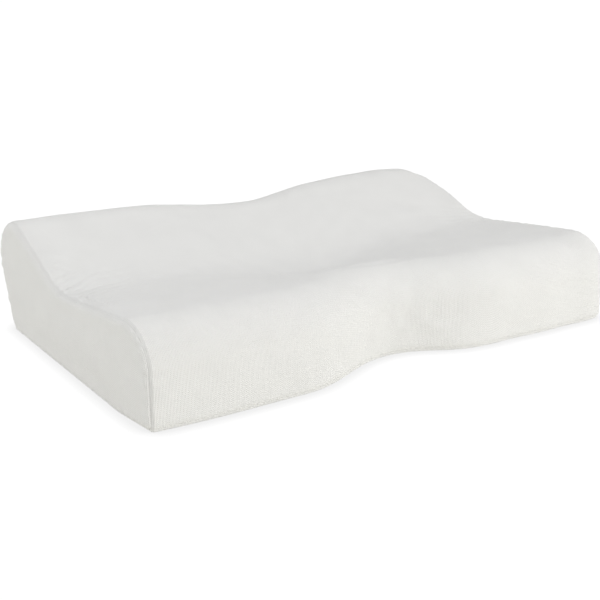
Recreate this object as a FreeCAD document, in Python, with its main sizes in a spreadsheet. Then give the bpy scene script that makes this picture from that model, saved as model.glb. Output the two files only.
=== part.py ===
"""Contoured neck-support pillow: a moulded foam core in a jersey liner and a zipped fabric cover.

A FreeCAD 1.1 macro in millimetres. The pillow stands on z = 0 with its long side along X, the neck
side towards -Y and the origin at the bottom centre of its bounding box.

Every layer of the pillow (cover, liner, core) is the same form at its own inset. A form is a loft
through side profiles along X, closed at each end by a short rounded cap. A profile is five arcs
joined by tangent lines, and its sizes run smoothly from the centre over the wings to the ends. An
inset keeps the centres of the arcs and changes only their radii, so the layers stay parallel. The
zip is modelled in its own frame on the leaning rear face: x along the zip, y up the face, z depth
below the outer face of the fabric, so negative z is outside.
"""

import FreeCAD
import Part
import Sketcher
import math
import os

Vector = FreeCAD.Vector

SIZES = [
    ("width", 550.0, "overall width of the pillow"),
    ("end_radius", 7.0, "rounding between the end panels and the rest"),
    ("toe_radius", 9.0, "front bottom edge"),
    ("front_radius", 39.0, "top of the front lobe"),
    ("valley_radius", 105.0, "hollow between the lobes"),
    ("rear_radius", 45.0, "top of the rear lobe"),
    ("heel_radius", 14.0, "rear bottom edge"),
    ("sole_trim", 0.05, "shaved off the underside, so that it is one flat face"),
    ("heel_back", 153.5, "where the rear face would meet the floor, y"),
    ("rear_lean", 20.0, "lean of the rear face beyond upright, degrees"),
    ("front_reach", 118.0, "half width of the cut-out in the front, for the neck"),
    ("top_reach", 168.0, "half width of the dip in the hollow and the rear lobe, for the head"),
    ("wing_at", 190.0, "x beyond which the pillow narrows to its ends"),
    ("end_front", -173.5, "end profile: y of the front face"),
    ("end_lobe", 89.5, "end profile: height of the front lobe"),
    ("end_valley", 0.0, "end profile: y of the lowest point of the hollow"),
    ("end_floor", 75.0, "end profile: height of that point"),
    ("end_crest", 118.5, "end profile: height of the rear lobe"),
    ("wing_front", -178.0, "wing profile, as the end profile"),
    ("wing_lobe", 89.5, ""),
    ("wing_valley", -2.0, ""),
    ("wing_floor", 73.0, ""),
    ("wing_crest", 120.5, ""),
    ("centre_front", -144.0, "centre profile, as the end profile"),
    ("centre_lobe", 85.5, ""),
    ("centre_valley", -9.0, ""),
    ("centre_floor", 58.5, ""),
    ("centre_crest", 106.0, ""),
    ("cover_cloth", 1.6, "thickness of the cover fabric"),
    ("cover_gap", 1.0, "space between cover and liner, for the turned-in seam edges"),
    ("liner_cloth", 0.8, "thickness of the liner jersey"),
    ("liner_gap", 0.3, "space between liner and core"),
    ("rear_ease", 2.0, "extra slack of the cover behind the zip"),
    ("seam_inset", 2.3, "how far the end and bottom seams stand in from the outermost face"),
    ("overlock_width", 7.0, "width of a turned-in, overlocked seam edge"),
    ("overlock_play", 0.15, "clearance either side of that edge"),
    ("zip_height", 31.0, "height of the zip line above the floor, along z"),
    ("zip_length", 470.0, "length of the closed chain"),
    ("zip_mouth", 13.0, "distance between the two fabric lips of the zip"),
    ("mouth_overrun", 4.0, "how far the mouth runs past the chain at each end"),
    ("tape_width", 15.0, "width of one zip tape"),
    ("tape_cloth", 0.5, "thickness of a zip tape"),
    ("tape_overrun", 12.0, "tape beyond the chain at each end"),
    ("layer_play", 0.05, "gap between fabric, tape and coil"),
    ("chain_gap", 1.4, "gap between the two coils, which the slider's web runs in"),
    ("coil_width", 2.7, "width of one coil"),
    ("coil_height", 2.4, "height of a coil above its tape"),
    ("coil_round", 0.8, "rounding of a coil's long edges"),
    ("stop_length", 3.0, "length of a moulded stop"),
    ("stop_height", 2.2, "height of a stop above the tape"),
    ("slider_length", 12.0, "slider along the zip"),
    ("slider_width", 9.6, "slider across the zip"),
    ("slider_plate", 1.3, "thickness of the slider's plates"),
    ("plate_round", 0.8, "rounding of the plates' corners"),
    ("slider_play", 0.25, "running clearance of the slider on coils and tapes"),
    ("flange_width", 0.9, "side flange of the front plate"),
    ("web_width", 0.9, "web that joins the slider's two plates"),
    ("web_length", 2.6, "length of that web"),
    ("bridge_length", 8.0, "bridge that holds the pull tab, along the zip"),
    ("bridge_width", 2.4, "bridge across the zip"),
    ("bridge_bar", 1.2, "thickness of the bridge"),
    ("bridge_opening", 2.3, "clear height under the bridge"),
    ("tab_length", 25.0, "pull tab from its cross bar to its tip"),
    ("tab_width", 7.6, "pull tab across"),
    ("tab_plate", 1.3, "thickness of the pull tab"),
    ("tab_bar", 0.75, "radius of the tab's cross bar"),
    ("tab_eye_length", 4.3, "eye of the tab, along it"),
    ("tab_eye_width", 3.6, "eye of the tab, across it"),
    ("tab_round", 2.4, "corner radius of the tab's tip"),
    ("tab_window_length", 7.0, "punched window near the tab's tip"),
    ("tab_window_width", 2.6, "the same, across the tab"),
    ("slider_rest", 5.8, "distance from the end of the chain to the closed slider's middle"),
    ("stitch_radius", 0.25, "topstitching thread"),
    ("stitch_back", 2.2, "topstitching behind the lip of the zip"),
    ("label_width", 26.0, "care label along the seam"),
    ("label_drop", 24.0, "care label below the seam"),
    ("label_cloth", 0.7, "folded care label, thickness"),
    ("label_at", 254.0, "x of the middle of the care label"),
]

STATIONS = 7  # profiles each side of the middle one
CAP_ANGLES = (0, 30, 60, 90)
CLEAR = 400.0  # reach of the boxes that divide the layers, well past the pillow

doc = FreeCAD.newDocument("neck_pillow")


def make_sheet():
    sheet = doc.addObject("Spreadsheet::Sheet", "Sizes")
    for row, (alias, value, note) in enumerate(SIZES, start=1):
        sheet.set(f"A{row}", alias.replace("_", " "))
        sheet.set(f"B{row}", str(value))
        sheet.set(f"C{row}", note)
        sheet.setAlias(f"B{row}", alias)
    doc.recompute()
    return sheet


sheet = make_sheet()


def size(alias):
    return float(sheet.get(alias))


# --------------------------------------------------------------------------- the pillow's form


def shape_size(name, along_x, reach):
    """A profile size at along_x: the wing's, eased to the centre's and to the end's."""
    middle = f"(1 + cos(180 deg * min(abs({along_x}) / Sizes.{reach}; 1))) / 2"
    end = "(Sizes.width / 2 - Sizes.end_radius)"
    outer = f"(max((abs({along_x}) - Sizes.wing_at) / ({end} - Sizes.wing_at); 0)) ^ 2"
    wing = f"Sizes.wing_{name}"
    return f"({wing} + {middle} * (Sizes.centre_{name} - {wing}) + {outer} * (Sizes.end_{name} - {wing}))"


def profile_arcs(along_x):
    """Centre y, centre z, radius and sense of a profile's five arcs, anticlockwise from the toe.

    Sense +1 is a convex arc and -1 the hollow. Each entry is an expression on the sheet."""

    def on_rear_face(height, radius):
        return (
            f"Sizes.heel_back + (({height}) * sin(Sizes.rear_lean * 1 deg) - {radius})"
            " / cos(Sizes.rear_lean * 1 deg)"
        )

    toe = "Sizes.toe_radius - Sizes.sole_trim"
    heel = "Sizes.heel_radius - Sizes.sole_trim"
    front = shape_size("front", along_x, "front_reach")
    lobe = shape_size("lobe", along_x, "front_reach")
    valley = shape_size("valley", along_x, "top_reach")
    floor = shape_size("floor", along_x, "top_reach")
    crest = shape_size("crest", along_x, "top_reach") + " - Sizes.rear_radius"
    return [
        (f"{front} + Sizes.toe_radius", toe, "Sizes.toe_radius", 1),
        (on_rear_face(heel, "Sizes.heel_radius"), heel, "Sizes.heel_radius", 1),
        (on_rear_face(crest, "Sizes.rear_radius"), crest, "Sizes.rear_radius", 1),
        (valley, f"{floor} + Sizes.valley_radius", "Sizes.valley_radius", -1),
        (f"{front} + Sizes.front_radius", f"{lobe} - Sizes.front_radius",
         "Sizes.front_radius", 1),
    ]


def value_of(expression):
    """The number that an expression on the sheet stands for."""
    result = sheet.evalExpression(expression)
    return float(getattr(result, "Value", result))


def tangent_points(first, second):
    """Ends of the line that leaves one arc and joins the next, for circles (y, z, signed radius)."""
    dy, dz = second[0] - first[0], second[1] - first[1]
    heading = math.atan2(dz, dy) - math.asin((second[2] - first[2]) / math.hypot(dy, dz))
    normal = (-math.sin(heading), math.cos(heading))
    return [
        Vector(c[0] - c[2] * normal[0], c[1] - c[2] * normal[1], 0) for c in (first, second)
    ]


def profile_sketch(body, name, shape_x, inset, along_x):
    """Sketch at along_x of the profile that belongs to shape_x, moved in by inset (expressions)."""
    sketch = body.newObject("Sketcher::SketchObject", name)
    plane = next(f for f in body.Origin.OriginFeatures if f.Role == "YZ_Plane")
    sketch.AttachmentSupport = [(plane, "")]
    sketch.MapMode = "FlatFace"
    sketch.setExpression("AttachmentOffset.Base.z", along_x)
    arcs = profile_arcs(shape_x)
    circles = []
    for centre_y, centre_z, radius, sense in arcs:
        inner = value_of(f"{radius} - {sense} * ({inset})")
        circles.append((value_of(centre_y), value_of(centre_z), sense * inner))
    count = len(circles)
    lines = [tangent_points(circles[i], circles[(i + 1) % count]) for i in range(count)]
    for i, (y, z, signed) in enumerate(circles):
        arrive, leave = lines[i - 1][1], lines[i][0]
        if signed < 0:
            arrive, leave = leave, arrive
        angles = [math.atan2(p.y - z, p.x - y) for p in (arrive, leave)]
        circle = Part.Circle(Vector(y, z, 0), Vector(0, 0, 1), abs(signed))
        sketch.addGeometry(Part.ArcOfCircle(circle, *angles), False)
    for start, end in lines:
        sketch.addGeometry(Part.LineSegment(start, end), False)
    rules = []
    for i in range(count):
        arc, line, following = i, count + i, (i + 1) % count
        arc_end = 1 if circles[i][2] < 0 else 2
        following_start = 2 if circles[following][2] < 0 else 1
        rules.append(Sketcher.Constraint("Tangent", arc, arc_end, line, 1))
        rules.append(Sketcher.Constraint("Tangent", line, 2, following, following_start))
    sketch.addConstraint(rules)
    for i, (centre_y, centre_z, radius, sense) in enumerate(arcs):
        y, z, signed = circles[i]
        driven = [
            (Sketcher.Constraint("DistanceX", -1, 1, i, 3, y), centre_y),
            (Sketcher.Constraint("DistanceY", -1, 1, i, 3, z), centre_z),
            (Sketcher.Constraint("Radius", i, abs(signed)), f"{radius} - {sense} * ({inset})"),
        ]
        for rule, expression in driven:
            index = sketch.addConstraint(rule)
            sketch.setExpression(f"Constraints[{index}]", expression)
    return sketch


def add_loft(body, name, sketches):
    loft = body.newObject("PartDesign::AdditiveLoft", name)
    loft.Profile = sketches[0]
    loft.Sections = sketches[1:]
    loft.Ruled = False
    return loft


def pillow_form(name, inset):
    """The whole pillow's outline as one solid, moved in by the expression inset."""
    body = doc.addObject("PartDesign::Body", name)
    end = "(Sizes.width / 2 - Sizes.end_radius)"
    sections = []
    for i in range(-STATIONS, STATIONS + 1):
        at = f"{i} / {STATIONS} * {end}"
        word = f"{'left' if i < 0 else 'right'}_{abs(i)}"
        sections.append(profile_sketch(body, f"{name}_profile_{word}", at, inset, at))
    add_loft(body, f"{name}_length", sections)
    doc.recompute()
    for side, word in ((-1, "left"), (1, "right")):
        cap = []
        for angle in CAP_ANGLES:
            turned = f"(Sizes.end_radius - ({inset}))"
            at = f"{side} * ({end} + {turned} * sin({angle} deg))"
            total = f"{inset} + {turned} * (1 - cos({angle} deg))"
            cap.append(profile_sketch(body, f"{name}_{word}_{angle}", end, total, at))
        add_loft(body, f"{name}_{word}_cap", cap)
        doc.recompute()
    return body


# --------------------------------------------------------------------------- shared helpers


def boolean(kind, name, base, tool):
    result = doc.addObject(f"Part::{kind}", name)
    result.Base = base
    result.Tool = tool
    return result


def bound_box(name, lengths, corner):
    """A Part::Box whose three lengths and lowest corner are expressions on the sheet."""
    box = doc.addObject("Part::Box", name)
    for axis, expression in zip(("Length", "Width", "Height"), lengths):
        box.setExpression(axis, expression)
    for axis, expression in zip("xyz", corner):
        box.setExpression(f"Placement.Base.{axis}", expression)
    return box


def put_on_rear_face(item, x="0", y="0", z="0"):
    """Places item by its local x, y, z (expressions) in the zip's frame on the rear face."""
    lean = "Sizes.rear_lean * 1 deg"
    item.Placement = FreeCAD.Placement(Vector(), FreeCAD.Rotation(Vector(1, 0, 0), 45))
    item.setExpression("Placement.Rotation.Angle", "90 deg - Sizes.rear_lean * 1 deg")
    item.setExpression("Placement.Base.x", x)
    item.setExpression(
        "Placement.Base.y",
        f"Sizes.heel_back + Sizes.zip_height * tan({lean})"
        f" + ({y}) * sin({lean}) - ({z}) * cos({lean})",
    )
    item.setExpression(
        "Placement.Base.z",
        f"Sizes.zip_height + ({y}) * cos({lean}) + ({z}) * sin({lean})",
    )


def rear_box(name, lengths, corner):
    """A Part::Box in the zip's frame: lengths along local x, y, z and its lowest corner."""
    box = doc.addObject("Part::Box", name)
    for axis, expression in zip(("Length", "Width", "Height"), lengths):
        box.setExpression(axis, expression)
    put_on_rear_face(box, *corner)
    return box


def rounded(name, base, radius, wanted):
    """Part::Fillet of the edges of base that wanted(edge) picks, at the expression radius."""
    doc.recompute()
    value = value_of(radius)
    picked = [i for i, edge in enumerate(base.Shape.Edges, start=1) if wanted(edge)]
    fillet = doc.addObject("Part::Fillet", name)
    fillet.Base = base
    fillet.Edges = [(i, value, value) for i in picked]
    return fillet


# --------------------------------------------------------------------------- layers and panels

LINER_DEPTH = "(Sizes.cover_cloth + Sizes.cover_gap)"
LINER_INNER = f"({LINER_DEPTH} + Sizes.liner_cloth)"
CORE_DEPTH = f"({LINER_INNER} + Sizes.liner_gap)"
END_SEAM = "(Sizes.width / 2 - Sizes.seam_inset)"


def slack_at_rear(name, form, depth):
    """form with its rear face flat and deeper by the cover's slack, at depth plus that slack."""
    beyond = rear_box(
        f"{name}_rear_slack",
        (f"2 * {CLEAR}", f"2 * {CLEAR}", f"{CLEAR}"),
        (f"-{CLEAR}", f"-{CLEAR}", f"{depth} + Sizes.rear_ease - {CLEAR}"),
    )
    return boolean("Cut", name, form, beyond)


def floor_slab(name, low, high):
    """A slab over the whole plan between two heights, which are expressions."""
    return bound_box(
        name,
        (f"2 * {CLEAR}", f"2 * {CLEAR}", f"({high}) - ({low})"),
        (f"-{CLEAR}", f"-{CLEAR}", low),
    )


def side_slab(name, low, high):
    """A slab across the pillow between two values of x, which are expressions."""
    return bound_box(
        name,
        (f"({high}) - ({low})", f"2 * {CLEAR}", f"2 * {CLEAR}"),
        (low, f"-{CLEAR}", f"-{CLEAR}"),
    )


def make_cover(outer, inner):
    """Five sewn panels: a wrap over front, top and rear, the underside, a rear band, two ends."""
    shell = boolean("Cut", "cover_shell", outer, inner)
    underside = doc.addObject("Part::MultiFuse", "underside_zone")
    underside.Shapes = [floor_slab("underside_slab", "-1", "Sizes.seam_inset")] + [
        bound_box(
            f"underside_{word}",
            ("12", "Sizes.heel_back - Sizes.end_front - 5", "6"),
            (low, "Sizes.end_front + 3", "0"),
        )
        for word, low in (("left", f"-1 * {END_SEAM}"), ("right", f"{END_SEAM} - 12"))
    ]
    base = boolean("Common", "cover_base", shell, underside)
    shavings = floor_slab("below_floor", "-2", "0")
    panels = {"cover_bottom_panel": boolean("Cut", "cover_bottom_panel", base, shavings)}
    walls = boolean("Cut", "cover_walls", shell, underside)
    for word, low, high in (
        ("left", f"-{CLEAR}", f"-1 * {END_SEAM}"),
        ("right", END_SEAM, f"{CLEAR}"),
    ):
        zone = side_slab(f"{word}_end_zone", low, high)
        node = f"cover_{word}_end"
        panels[node] = boolean("Common", node, walls, zone)
    middle = side_slab("middle_zone", f"-1 * {END_SEAM}", END_SEAM)
    sleeve = boolean("Common", "cover_sleeve", walls, middle)
    mouth = rear_box(
        "zip_mouth",
        ("Sizes.zip_length + 2 * Sizes.mouth_overrun", "Sizes.zip_mouth", "20"),
        ("-Sizes.zip_length / 2 - Sizes.mouth_overrun", "-Sizes.zip_mouth / 2", "-10"),
    )
    opened = boolean("Cut", "cover_sleeve_open", sleeve, mouth)
    below = rear_box(
        "rear_band_zone",
        (f"2 * {CLEAR}", "100", "40"),
        (f"-{CLEAR}", "-100", "-20"),
    )
    panels["cover_rear_band"] = boolean("Common", "cover_rear_band", opened, below)
    panels["cover_wrap_panel"] = boolean("Cut", "cover_wrap_panel", opened, below)
    return panels


def make_liner(outer, inner):
    """Jersey sleeve round the core, closed by two sewn end pieces."""
    shell = boolean("Cut", "liner_shell", outer, inner)
    seam = f"(Sizes.width / 2 - {LINER_DEPTH} - Sizes.liner_cloth)"
    pieces = {}
    for word, low, high in (
        ("left", f"-{CLEAR}", f"-1 * {seam}"),
        ("right", seam, f"{CLEAR}"),
    ):
        zone = side_slab(f"liner_{word}_zone", low, high)
        pieces[f"liner_{word}_end"] = boolean("Common", f"liner_{word}_end", shell, zone)
    middle = side_slab("liner_middle_zone", f"-1 * {seam}", seam)
    pieces["liner_sleeve"] = boolean("Common", "liner_sleeve", shell, middle)
    return pieces


def make_overlock_seams(outer, inner):
    """The turned-in, overlocked edges of the end seams and of the underside's seam."""
    band = boolean("Cut", "overlock_band", outer, inner)
    low = "Sizes.seam_inset + Sizes.overlock_play"
    top = f"{low} + Sizes.overlock_width"
    walls_only = side_slab("overlock_middle", f"-1 * {END_SEAM} + 0.3", f"{END_SEAM} - 0.3")
    band = boolean("Common", "overlock_sleeve", band, walls_only)
    straight = "(Sizes.width / 2 - Sizes.end_radius)"
    between = side_slab("overlock_straight", f"-1 * {straight}", straight)
    strips = boolean("Common", "overlock_strips", band, between)
    pieces = {
        "bottom_overlock_seam": boolean(
            "Common", "bottom_overlock_seam", strips, floor_slab("overlock_low", low, top)
        )
    }
    above = floor_slab("overlock_above", f"{top} + 0.2", f"{CLEAR}")
    rings = boolean("Common", "overlock_rings", band, above)
    edge = f"({END_SEAM} - Sizes.overlock_width)"
    for word, first, last in (
        ("left", f"-{CLEAR}", f"-1 * {edge}"),
        ("right", edge, f"{CLEAR}"),
    ):
        node = f"{word}_overlock_seam"
        zone = side_slab(f"overlock_{word}_zone", first, last)
        pieces[node] = boolean("Common", node, rings, zone)
    return pieces


# --------------------------------------------------------------------------- zip

TAPE_FACE = "(Sizes.cover_cloth + Sizes.layer_play)"
COIL_TOP = f"({TAPE_FACE} - Sizes.layer_play - Sizes.coil_height)"
FRONT_PLATE = f"({COIL_TOP} - Sizes.slider_play)"
BACK_PLATE = f"({TAPE_FACE} + Sizes.tape_cloth + Sizes.slider_play)"
TAB_AXIS = f"({FRONT_PLATE} - Sizes.slider_plate - Sizes.bridge_opening / 2)"


def make_tape(word, side):
    """One woven zip tape, in the slack behind the cover's fabric."""
    gap = "Sizes.chain_gap / 2"
    y = gap if side > 0 else f"-{gap} - Sizes.tape_width"
    return rear_box(
        f"zip_tape_{word}",
        ("Sizes.zip_length + 2 * Sizes.tape_overrun", "Sizes.tape_width", "Sizes.tape_cloth"),
        ("-Sizes.zip_length / 2 - Sizes.tape_overrun", y, TAPE_FACE),
    )


def make_coil(word, side):
    """One coil of teeth as a rounded bar on the outer face of its tape."""
    gap = "Sizes.chain_gap / 2"
    y = gap if side > 0 else f"-{gap} - Sizes.coil_width"
    bar = rear_box(
        f"coil_bar_{word}",
        ("Sizes.zip_length", "Sizes.coil_width", "Sizes.coil_height"),
        ("-Sizes.zip_length / 2", y, COIL_TOP),
    )
    doc.recompute()
    outward = bar.Placement.Rotation.multVec(Vector(0, 0, -1))
    top = max(vertex.Point.dot(outward) for vertex in bar.Shape.Vertexes)

    def long_and_outer(edge):
        return edge.Length > size("zip_length") / 2 and all(
            abs(vertex.Point.dot(outward) - top) < 1e-4 for vertex in edge.Vertexes
        )

    return rounded(f"zip_coil_{word}", bar, "Sizes.coil_round", long_and_outer)


def make_stops():
    """Two moulded top stops, one on each tape, and the bottom stop across both tapes."""
    top_at = "Sizes.zip_length / 2 + 0.5"
    across = "Sizes.chain_gap / 2"
    height = "Sizes.stop_height"
    lift = f"{TAPE_FACE} - Sizes.layer_play - {height}"
    tops = [
        rear_box(
            f"top_stop_{word}",
            ("Sizes.stop_length", "Sizes.coil_width", height),
            (top_at, across if side > 0 else f"-{across} - Sizes.coil_width", lift),
        )
        for word, side in (("upper", 1), ("lower", -1))
    ]
    pair = doc.addObject("Part::Compound", "zip_top_stops")
    pair.Links = tops
    bottom = rear_box(
        "zip_bottom_stop",
        ("Sizes.stop_length", "Sizes.chain_gap + 2 * Sizes.coil_width", height),
        (f"-1 * ({top_at}) - Sizes.stop_length", f"-{across} - Sizes.coil_width", lift),
    )
    return {"zip_top_stops": pair, "zip_bottom_stop": bottom}


def rectangle_sketch(body, name, plane_role, offset, x_range, y_range):
    """A rectangle between expressions for its two x and two y sides, at offset along its normal."""
    sketch = body.newObject("Sketcher::SketchObject", name)
    plane = next(f for f in body.Origin.OriginFeatures if f.Role == plane_role)
    sketch.AttachmentSupport = [(plane, "")]
    sketch.MapMode = "FlatFace"
    sketch.setExpression("AttachmentOffset.Base.z", offset)
    x = [value_of(e) for e in x_range]
    y = [value_of(e) for e in y_range]
    corners = [Vector(x[0], y[0], 0), Vector(x[1], y[0], 0), Vector(x[1], y[1], 0),
               Vector(x[0], y[1], 0)]
    for i in range(4):
        sketch.addGeometry(Part.LineSegment(corners[i], corners[(i + 1) % 4]), False)
    rules = [Sketcher.Constraint("Coincident", i, 2, (i + 1) % 4, 1) for i in range(4)]
    rules += [Sketcher.Constraint("Horizontal", i) for i in (0, 2)]
    rules += [Sketcher.Constraint("Vertical", i) for i in (1, 3)]
    sketch.addConstraint(rules)
    for kind, vertex, expression, value in (
        ("DistanceX", (0, 1), x_range[0], x[0]),
        ("DistanceX", (1, 2), x_range[1], x[1]),
        ("DistanceY", (0, 1), y_range[0], y[0]),
        ("DistanceY", (1, 2), y_range[1], y[1]),
    ):
        index = sketch.addConstraint(Sketcher.Constraint(kind, -1, 1, *vertex, value))
        sketch.setExpression(f"Constraints[{index}]", expression)
    return sketch


def pad(body, name, sketch, length):
    """Pad of sketch along its normal by the expression length."""
    feature = body.newObject("PartDesign::Pad", name)
    feature.Profile = sketch
    feature.setExpression("Length", length)
    doc.recompute()
    return feature


def pocket(body, name, sketch, length):
    """Pocket along the sketch's normal. It has to remove material, or the build stops."""
    before = body.Shape.Volume
    feature = body.newObject("PartDesign::Pocket", name)
    feature.Profile = sketch
    feature.Reversed = True
    feature.setExpression("Length", length)
    doc.recompute()
    if body.Shape.Volume > before - 0.1:
        raise RuntimeError(f"{name} removes nothing")
    return feature


def fillet(body, name, radius, wanted):
    """Fillet at the expression radius on the edges of the body so far that wanted(box) picks."""
    base = body.Tip
    edges = [
        f"Edge{i}" for i, edge in enumerate(base.Shape.Edges, start=1) if wanted(edge.BoundBox)
    ]
    feature = body.newObject("PartDesign::Fillet", name)
    feature.Base = (base, edges)
    feature.setExpression("Radius", radius)
    doc.recompute()
    return feature


def half(expression):
    return (f"-1 * ({expression}) / 2", f"({expression}) / 2")


def make_slider():
    """Slider body: front plate with side flanges, back plate, the web between them, and a bridge."""
    body = doc.addObject("PartDesign::Body", "zip_slider_body")
    along = half("Sizes.slider_length")
    width = half("Sizes.slider_width")
    plate = rectangle_sketch(
        body, "front_plate_outline", "XY_Plane", f"{FRONT_PLATE} - Sizes.slider_plate", along, width
    )
    pad(body, "front_plate", plate, "Sizes.slider_plate")
    flange_depth = f"{TAPE_FACE} - Sizes.slider_play - ({FRONT_PLATE})"
    for word, sign in (("upper", 1), ("lower", -1)):
        edges = [f"{sign} * (Sizes.slider_width / 2 - Sizes.flange_width)",
                 f"{sign} * Sizes.slider_width / 2"]
        flange = rectangle_sketch(
            body, f"flange_{word}_outline", "XY_Plane", FRONT_PLATE, along, edges[::sign]
        )
        pad(body, f"flange_{word}", flange, flange_depth)
    nose = (f"Sizes.slider_length / 2 - Sizes.web_length", "Sizes.slider_length / 2")
    web = rectangle_sketch(
        body, "web_outline", "XY_Plane", FRONT_PLATE, nose, half("Sizes.web_width")
    )
    pad(body, "web", web, f"{BACK_PLATE} - ({FRONT_PLATE})")
    back = rectangle_sketch(body, "back_plate_outline", "XY_Plane", BACK_PLATE, along, width)
    pad(body, "back_plate", back, "Sizes.slider_plate")
    bridge_height = "(Sizes.bridge_opening + Sizes.bridge_bar)"
    top = f"{FRONT_PLATE} - Sizes.slider_plate - {bridge_height}"
    bridge = rectangle_sketch(
        body, "bridge_outline", "XY_Plane", top, half("Sizes.bridge_length"),
        half("Sizes.bridge_width"),
    )
    pad(body, "bridge", bridge, bridge_height)
    opening = rectangle_sketch(
        body, "bridge_opening_outline", "XZ_Plane", "-1 * Sizes.bridge_width",
        half("Sizes.bridge_length - 2 * Sizes.bridge_bar"),
        (f"{top} + Sizes.bridge_bar", f"{top} + {bridge_height}"),
    )
    pocket(body, "bridge_opening", opening, "2 * Sizes.bridge_width")
    outer = body.Shape.BoundBox.ZMin

    def crown_edge(box):
        flat = box.ZMax - box.ZMin < 0.01 and box.ZMin - outer < 0.01
        return flat and box.YLength > size("bridge_width") / 2

    def plate_corner(box):
        upright = abs(box.ZLength - size("slider_plate")) < 0.01
        at_end = abs(abs(box.Center.x) - size("slider_length") / 2) < 0.01
        return upright and at_end and abs(abs(box.Center.y) - size("slider_width") / 2) < 0.01

    fillet(body, "bridge_crown", "Sizes.bridge_bar * 0.8", crown_edge)
    fillet(body, "plate_corners", "Sizes.plate_round", plate_corner)
    put_on_rear_face(body, x=SLIDER_REST)
    return body


SLIDER_REST = "Sizes.zip_length / 2 - Sizes.slider_rest"


def make_pull_tab():
    """Flat pull tab, folded down along the closed chain, with a round cross bar in the bridge."""
    body = doc.addObject("PartDesign::Body", "zip_pull_tab")
    plate = rectangle_sketch(
        body, "tab_outline", "XY_Plane", f"{TAB_AXIS} - Sizes.tab_plate / 2",
        ("-1 * Sizes.tab_length", "0"), half("Sizes.tab_width"),
    )
    pad(body, "tab_plate", plate, "Sizes.tab_plate")

    def tip_corner(box):
        upright = abs(box.ZLength - size("tab_plate")) < 0.01
        return upright and box.Center.x < 0.01 - size("tab_length")

    fillet(body, "tab_tip", "Sizes.tab_round", tip_corner)
    window = rectangle_sketch(
        body, "tab_window_outline", "XY_Plane", f"{TAB_AXIS} - Sizes.tab_plate",
        ("-1 * Sizes.tab_length + 3.5", "-1 * Sizes.tab_length + 3.5 + Sizes.tab_window_length"),
        half("Sizes.tab_window_width"),
    )
    pocket(body, "tab_window", window, "2 * Sizes.tab_plate")
    eye = rectangle_sketch(
        body, "tab_eye_outline", "XY_Plane", f"{TAB_AXIS} - Sizes.tab_plate",
        ("-1 * Sizes.tab_eye_length - Sizes.tab_bar", "-1 * Sizes.tab_bar"),
        half("Sizes.tab_eye_width"),
    )
    pocket(body, "tab_eye", eye, "2 * Sizes.tab_plate")
    circle = body.newObject("Sketcher::SketchObject", "tab_bar_outline")
    plane = next(f for f in body.Origin.OriginFeatures if f.Role == "XZ_Plane")
    circle.AttachmentSupport = [(plane, "")]
    circle.MapMode = "FlatFace"
    circle.setExpression("AttachmentOffset.Base.z", "-1 * Sizes.tab_width / 2")
    axis = value_of(TAB_AXIS)
    circle.addGeometry(
        Part.Circle(Vector(0, axis, 0), Vector(0, 0, 1), size("tab_bar")), False
    )
    circle.addConstraint(Sketcher.Constraint("PointOnObject", 0, 3, -2))
    rules = [
        (Sketcher.Constraint("DistanceY", -1, 1, 0, 3, axis), TAB_AXIS),
        (Sketcher.Constraint("Radius", 0, size("tab_bar")), "Sizes.tab_bar"),
    ]
    for rule, expression in rules:
        index = circle.addConstraint(rule)
        circle.setExpression(f"Constraints[{index}]", expression)
    bar = pad(body, "tab_bar", circle, "Sizes.tab_width")
    body.Tip = bar
    put_on_rear_face(body, x=SLIDER_REST)
    return body


def make_topstitch(word, side):
    """The row of stitches that holds a tape behind its fabric lip, as one straight thread."""
    thread = doc.addObject("Part::Cylinder", f"zip_topstitch_{word}")
    thread.setExpression("Radius", "Sizes.stitch_radius")
    thread.setExpression("Height", "Sizes.zip_length")
    lean = "Sizes.rear_lean * 1 deg"
    across = f"{side} * (Sizes.zip_mouth / 2 + Sizes.stitch_back)"
    depth = "-1 * (Sizes.stitch_radius + Sizes.layer_play)"
    thread.Placement = FreeCAD.Placement(Vector(), FreeCAD.Rotation(Vector(0, 1, 0), 90))
    thread.setExpression("Placement.Base.x", "-Sizes.zip_length / 2")
    thread.setExpression(
        "Placement.Base.y",
        f"Sizes.heel_back + Sizes.zip_height * tan({lean})"
        f" + ({across}) * sin({lean}) - ({depth}) * cos({lean})",
    )
    thread.setExpression(
        "Placement.Base.z",
        f"Sizes.zip_height + ({across}) * cos({lean}) + ({depth}) * sin({lean})",
    )
    return thread


def make_care_label():
    """Blank folded label, sewn into the seam beyond the end of the zip."""
    return rear_box(
        "care_label",
        ("Sizes.label_width", "Sizes.label_drop", "Sizes.label_cloth"),
        (
            "-1 * Sizes.label_at - Sizes.label_width / 2",
            "-1 * Sizes.label_drop",
            "-1 * (Sizes.label_cloth + Sizes.layer_play)",
        ),
    )


# --------------------------------------------------------------------------- assembly and export


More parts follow.
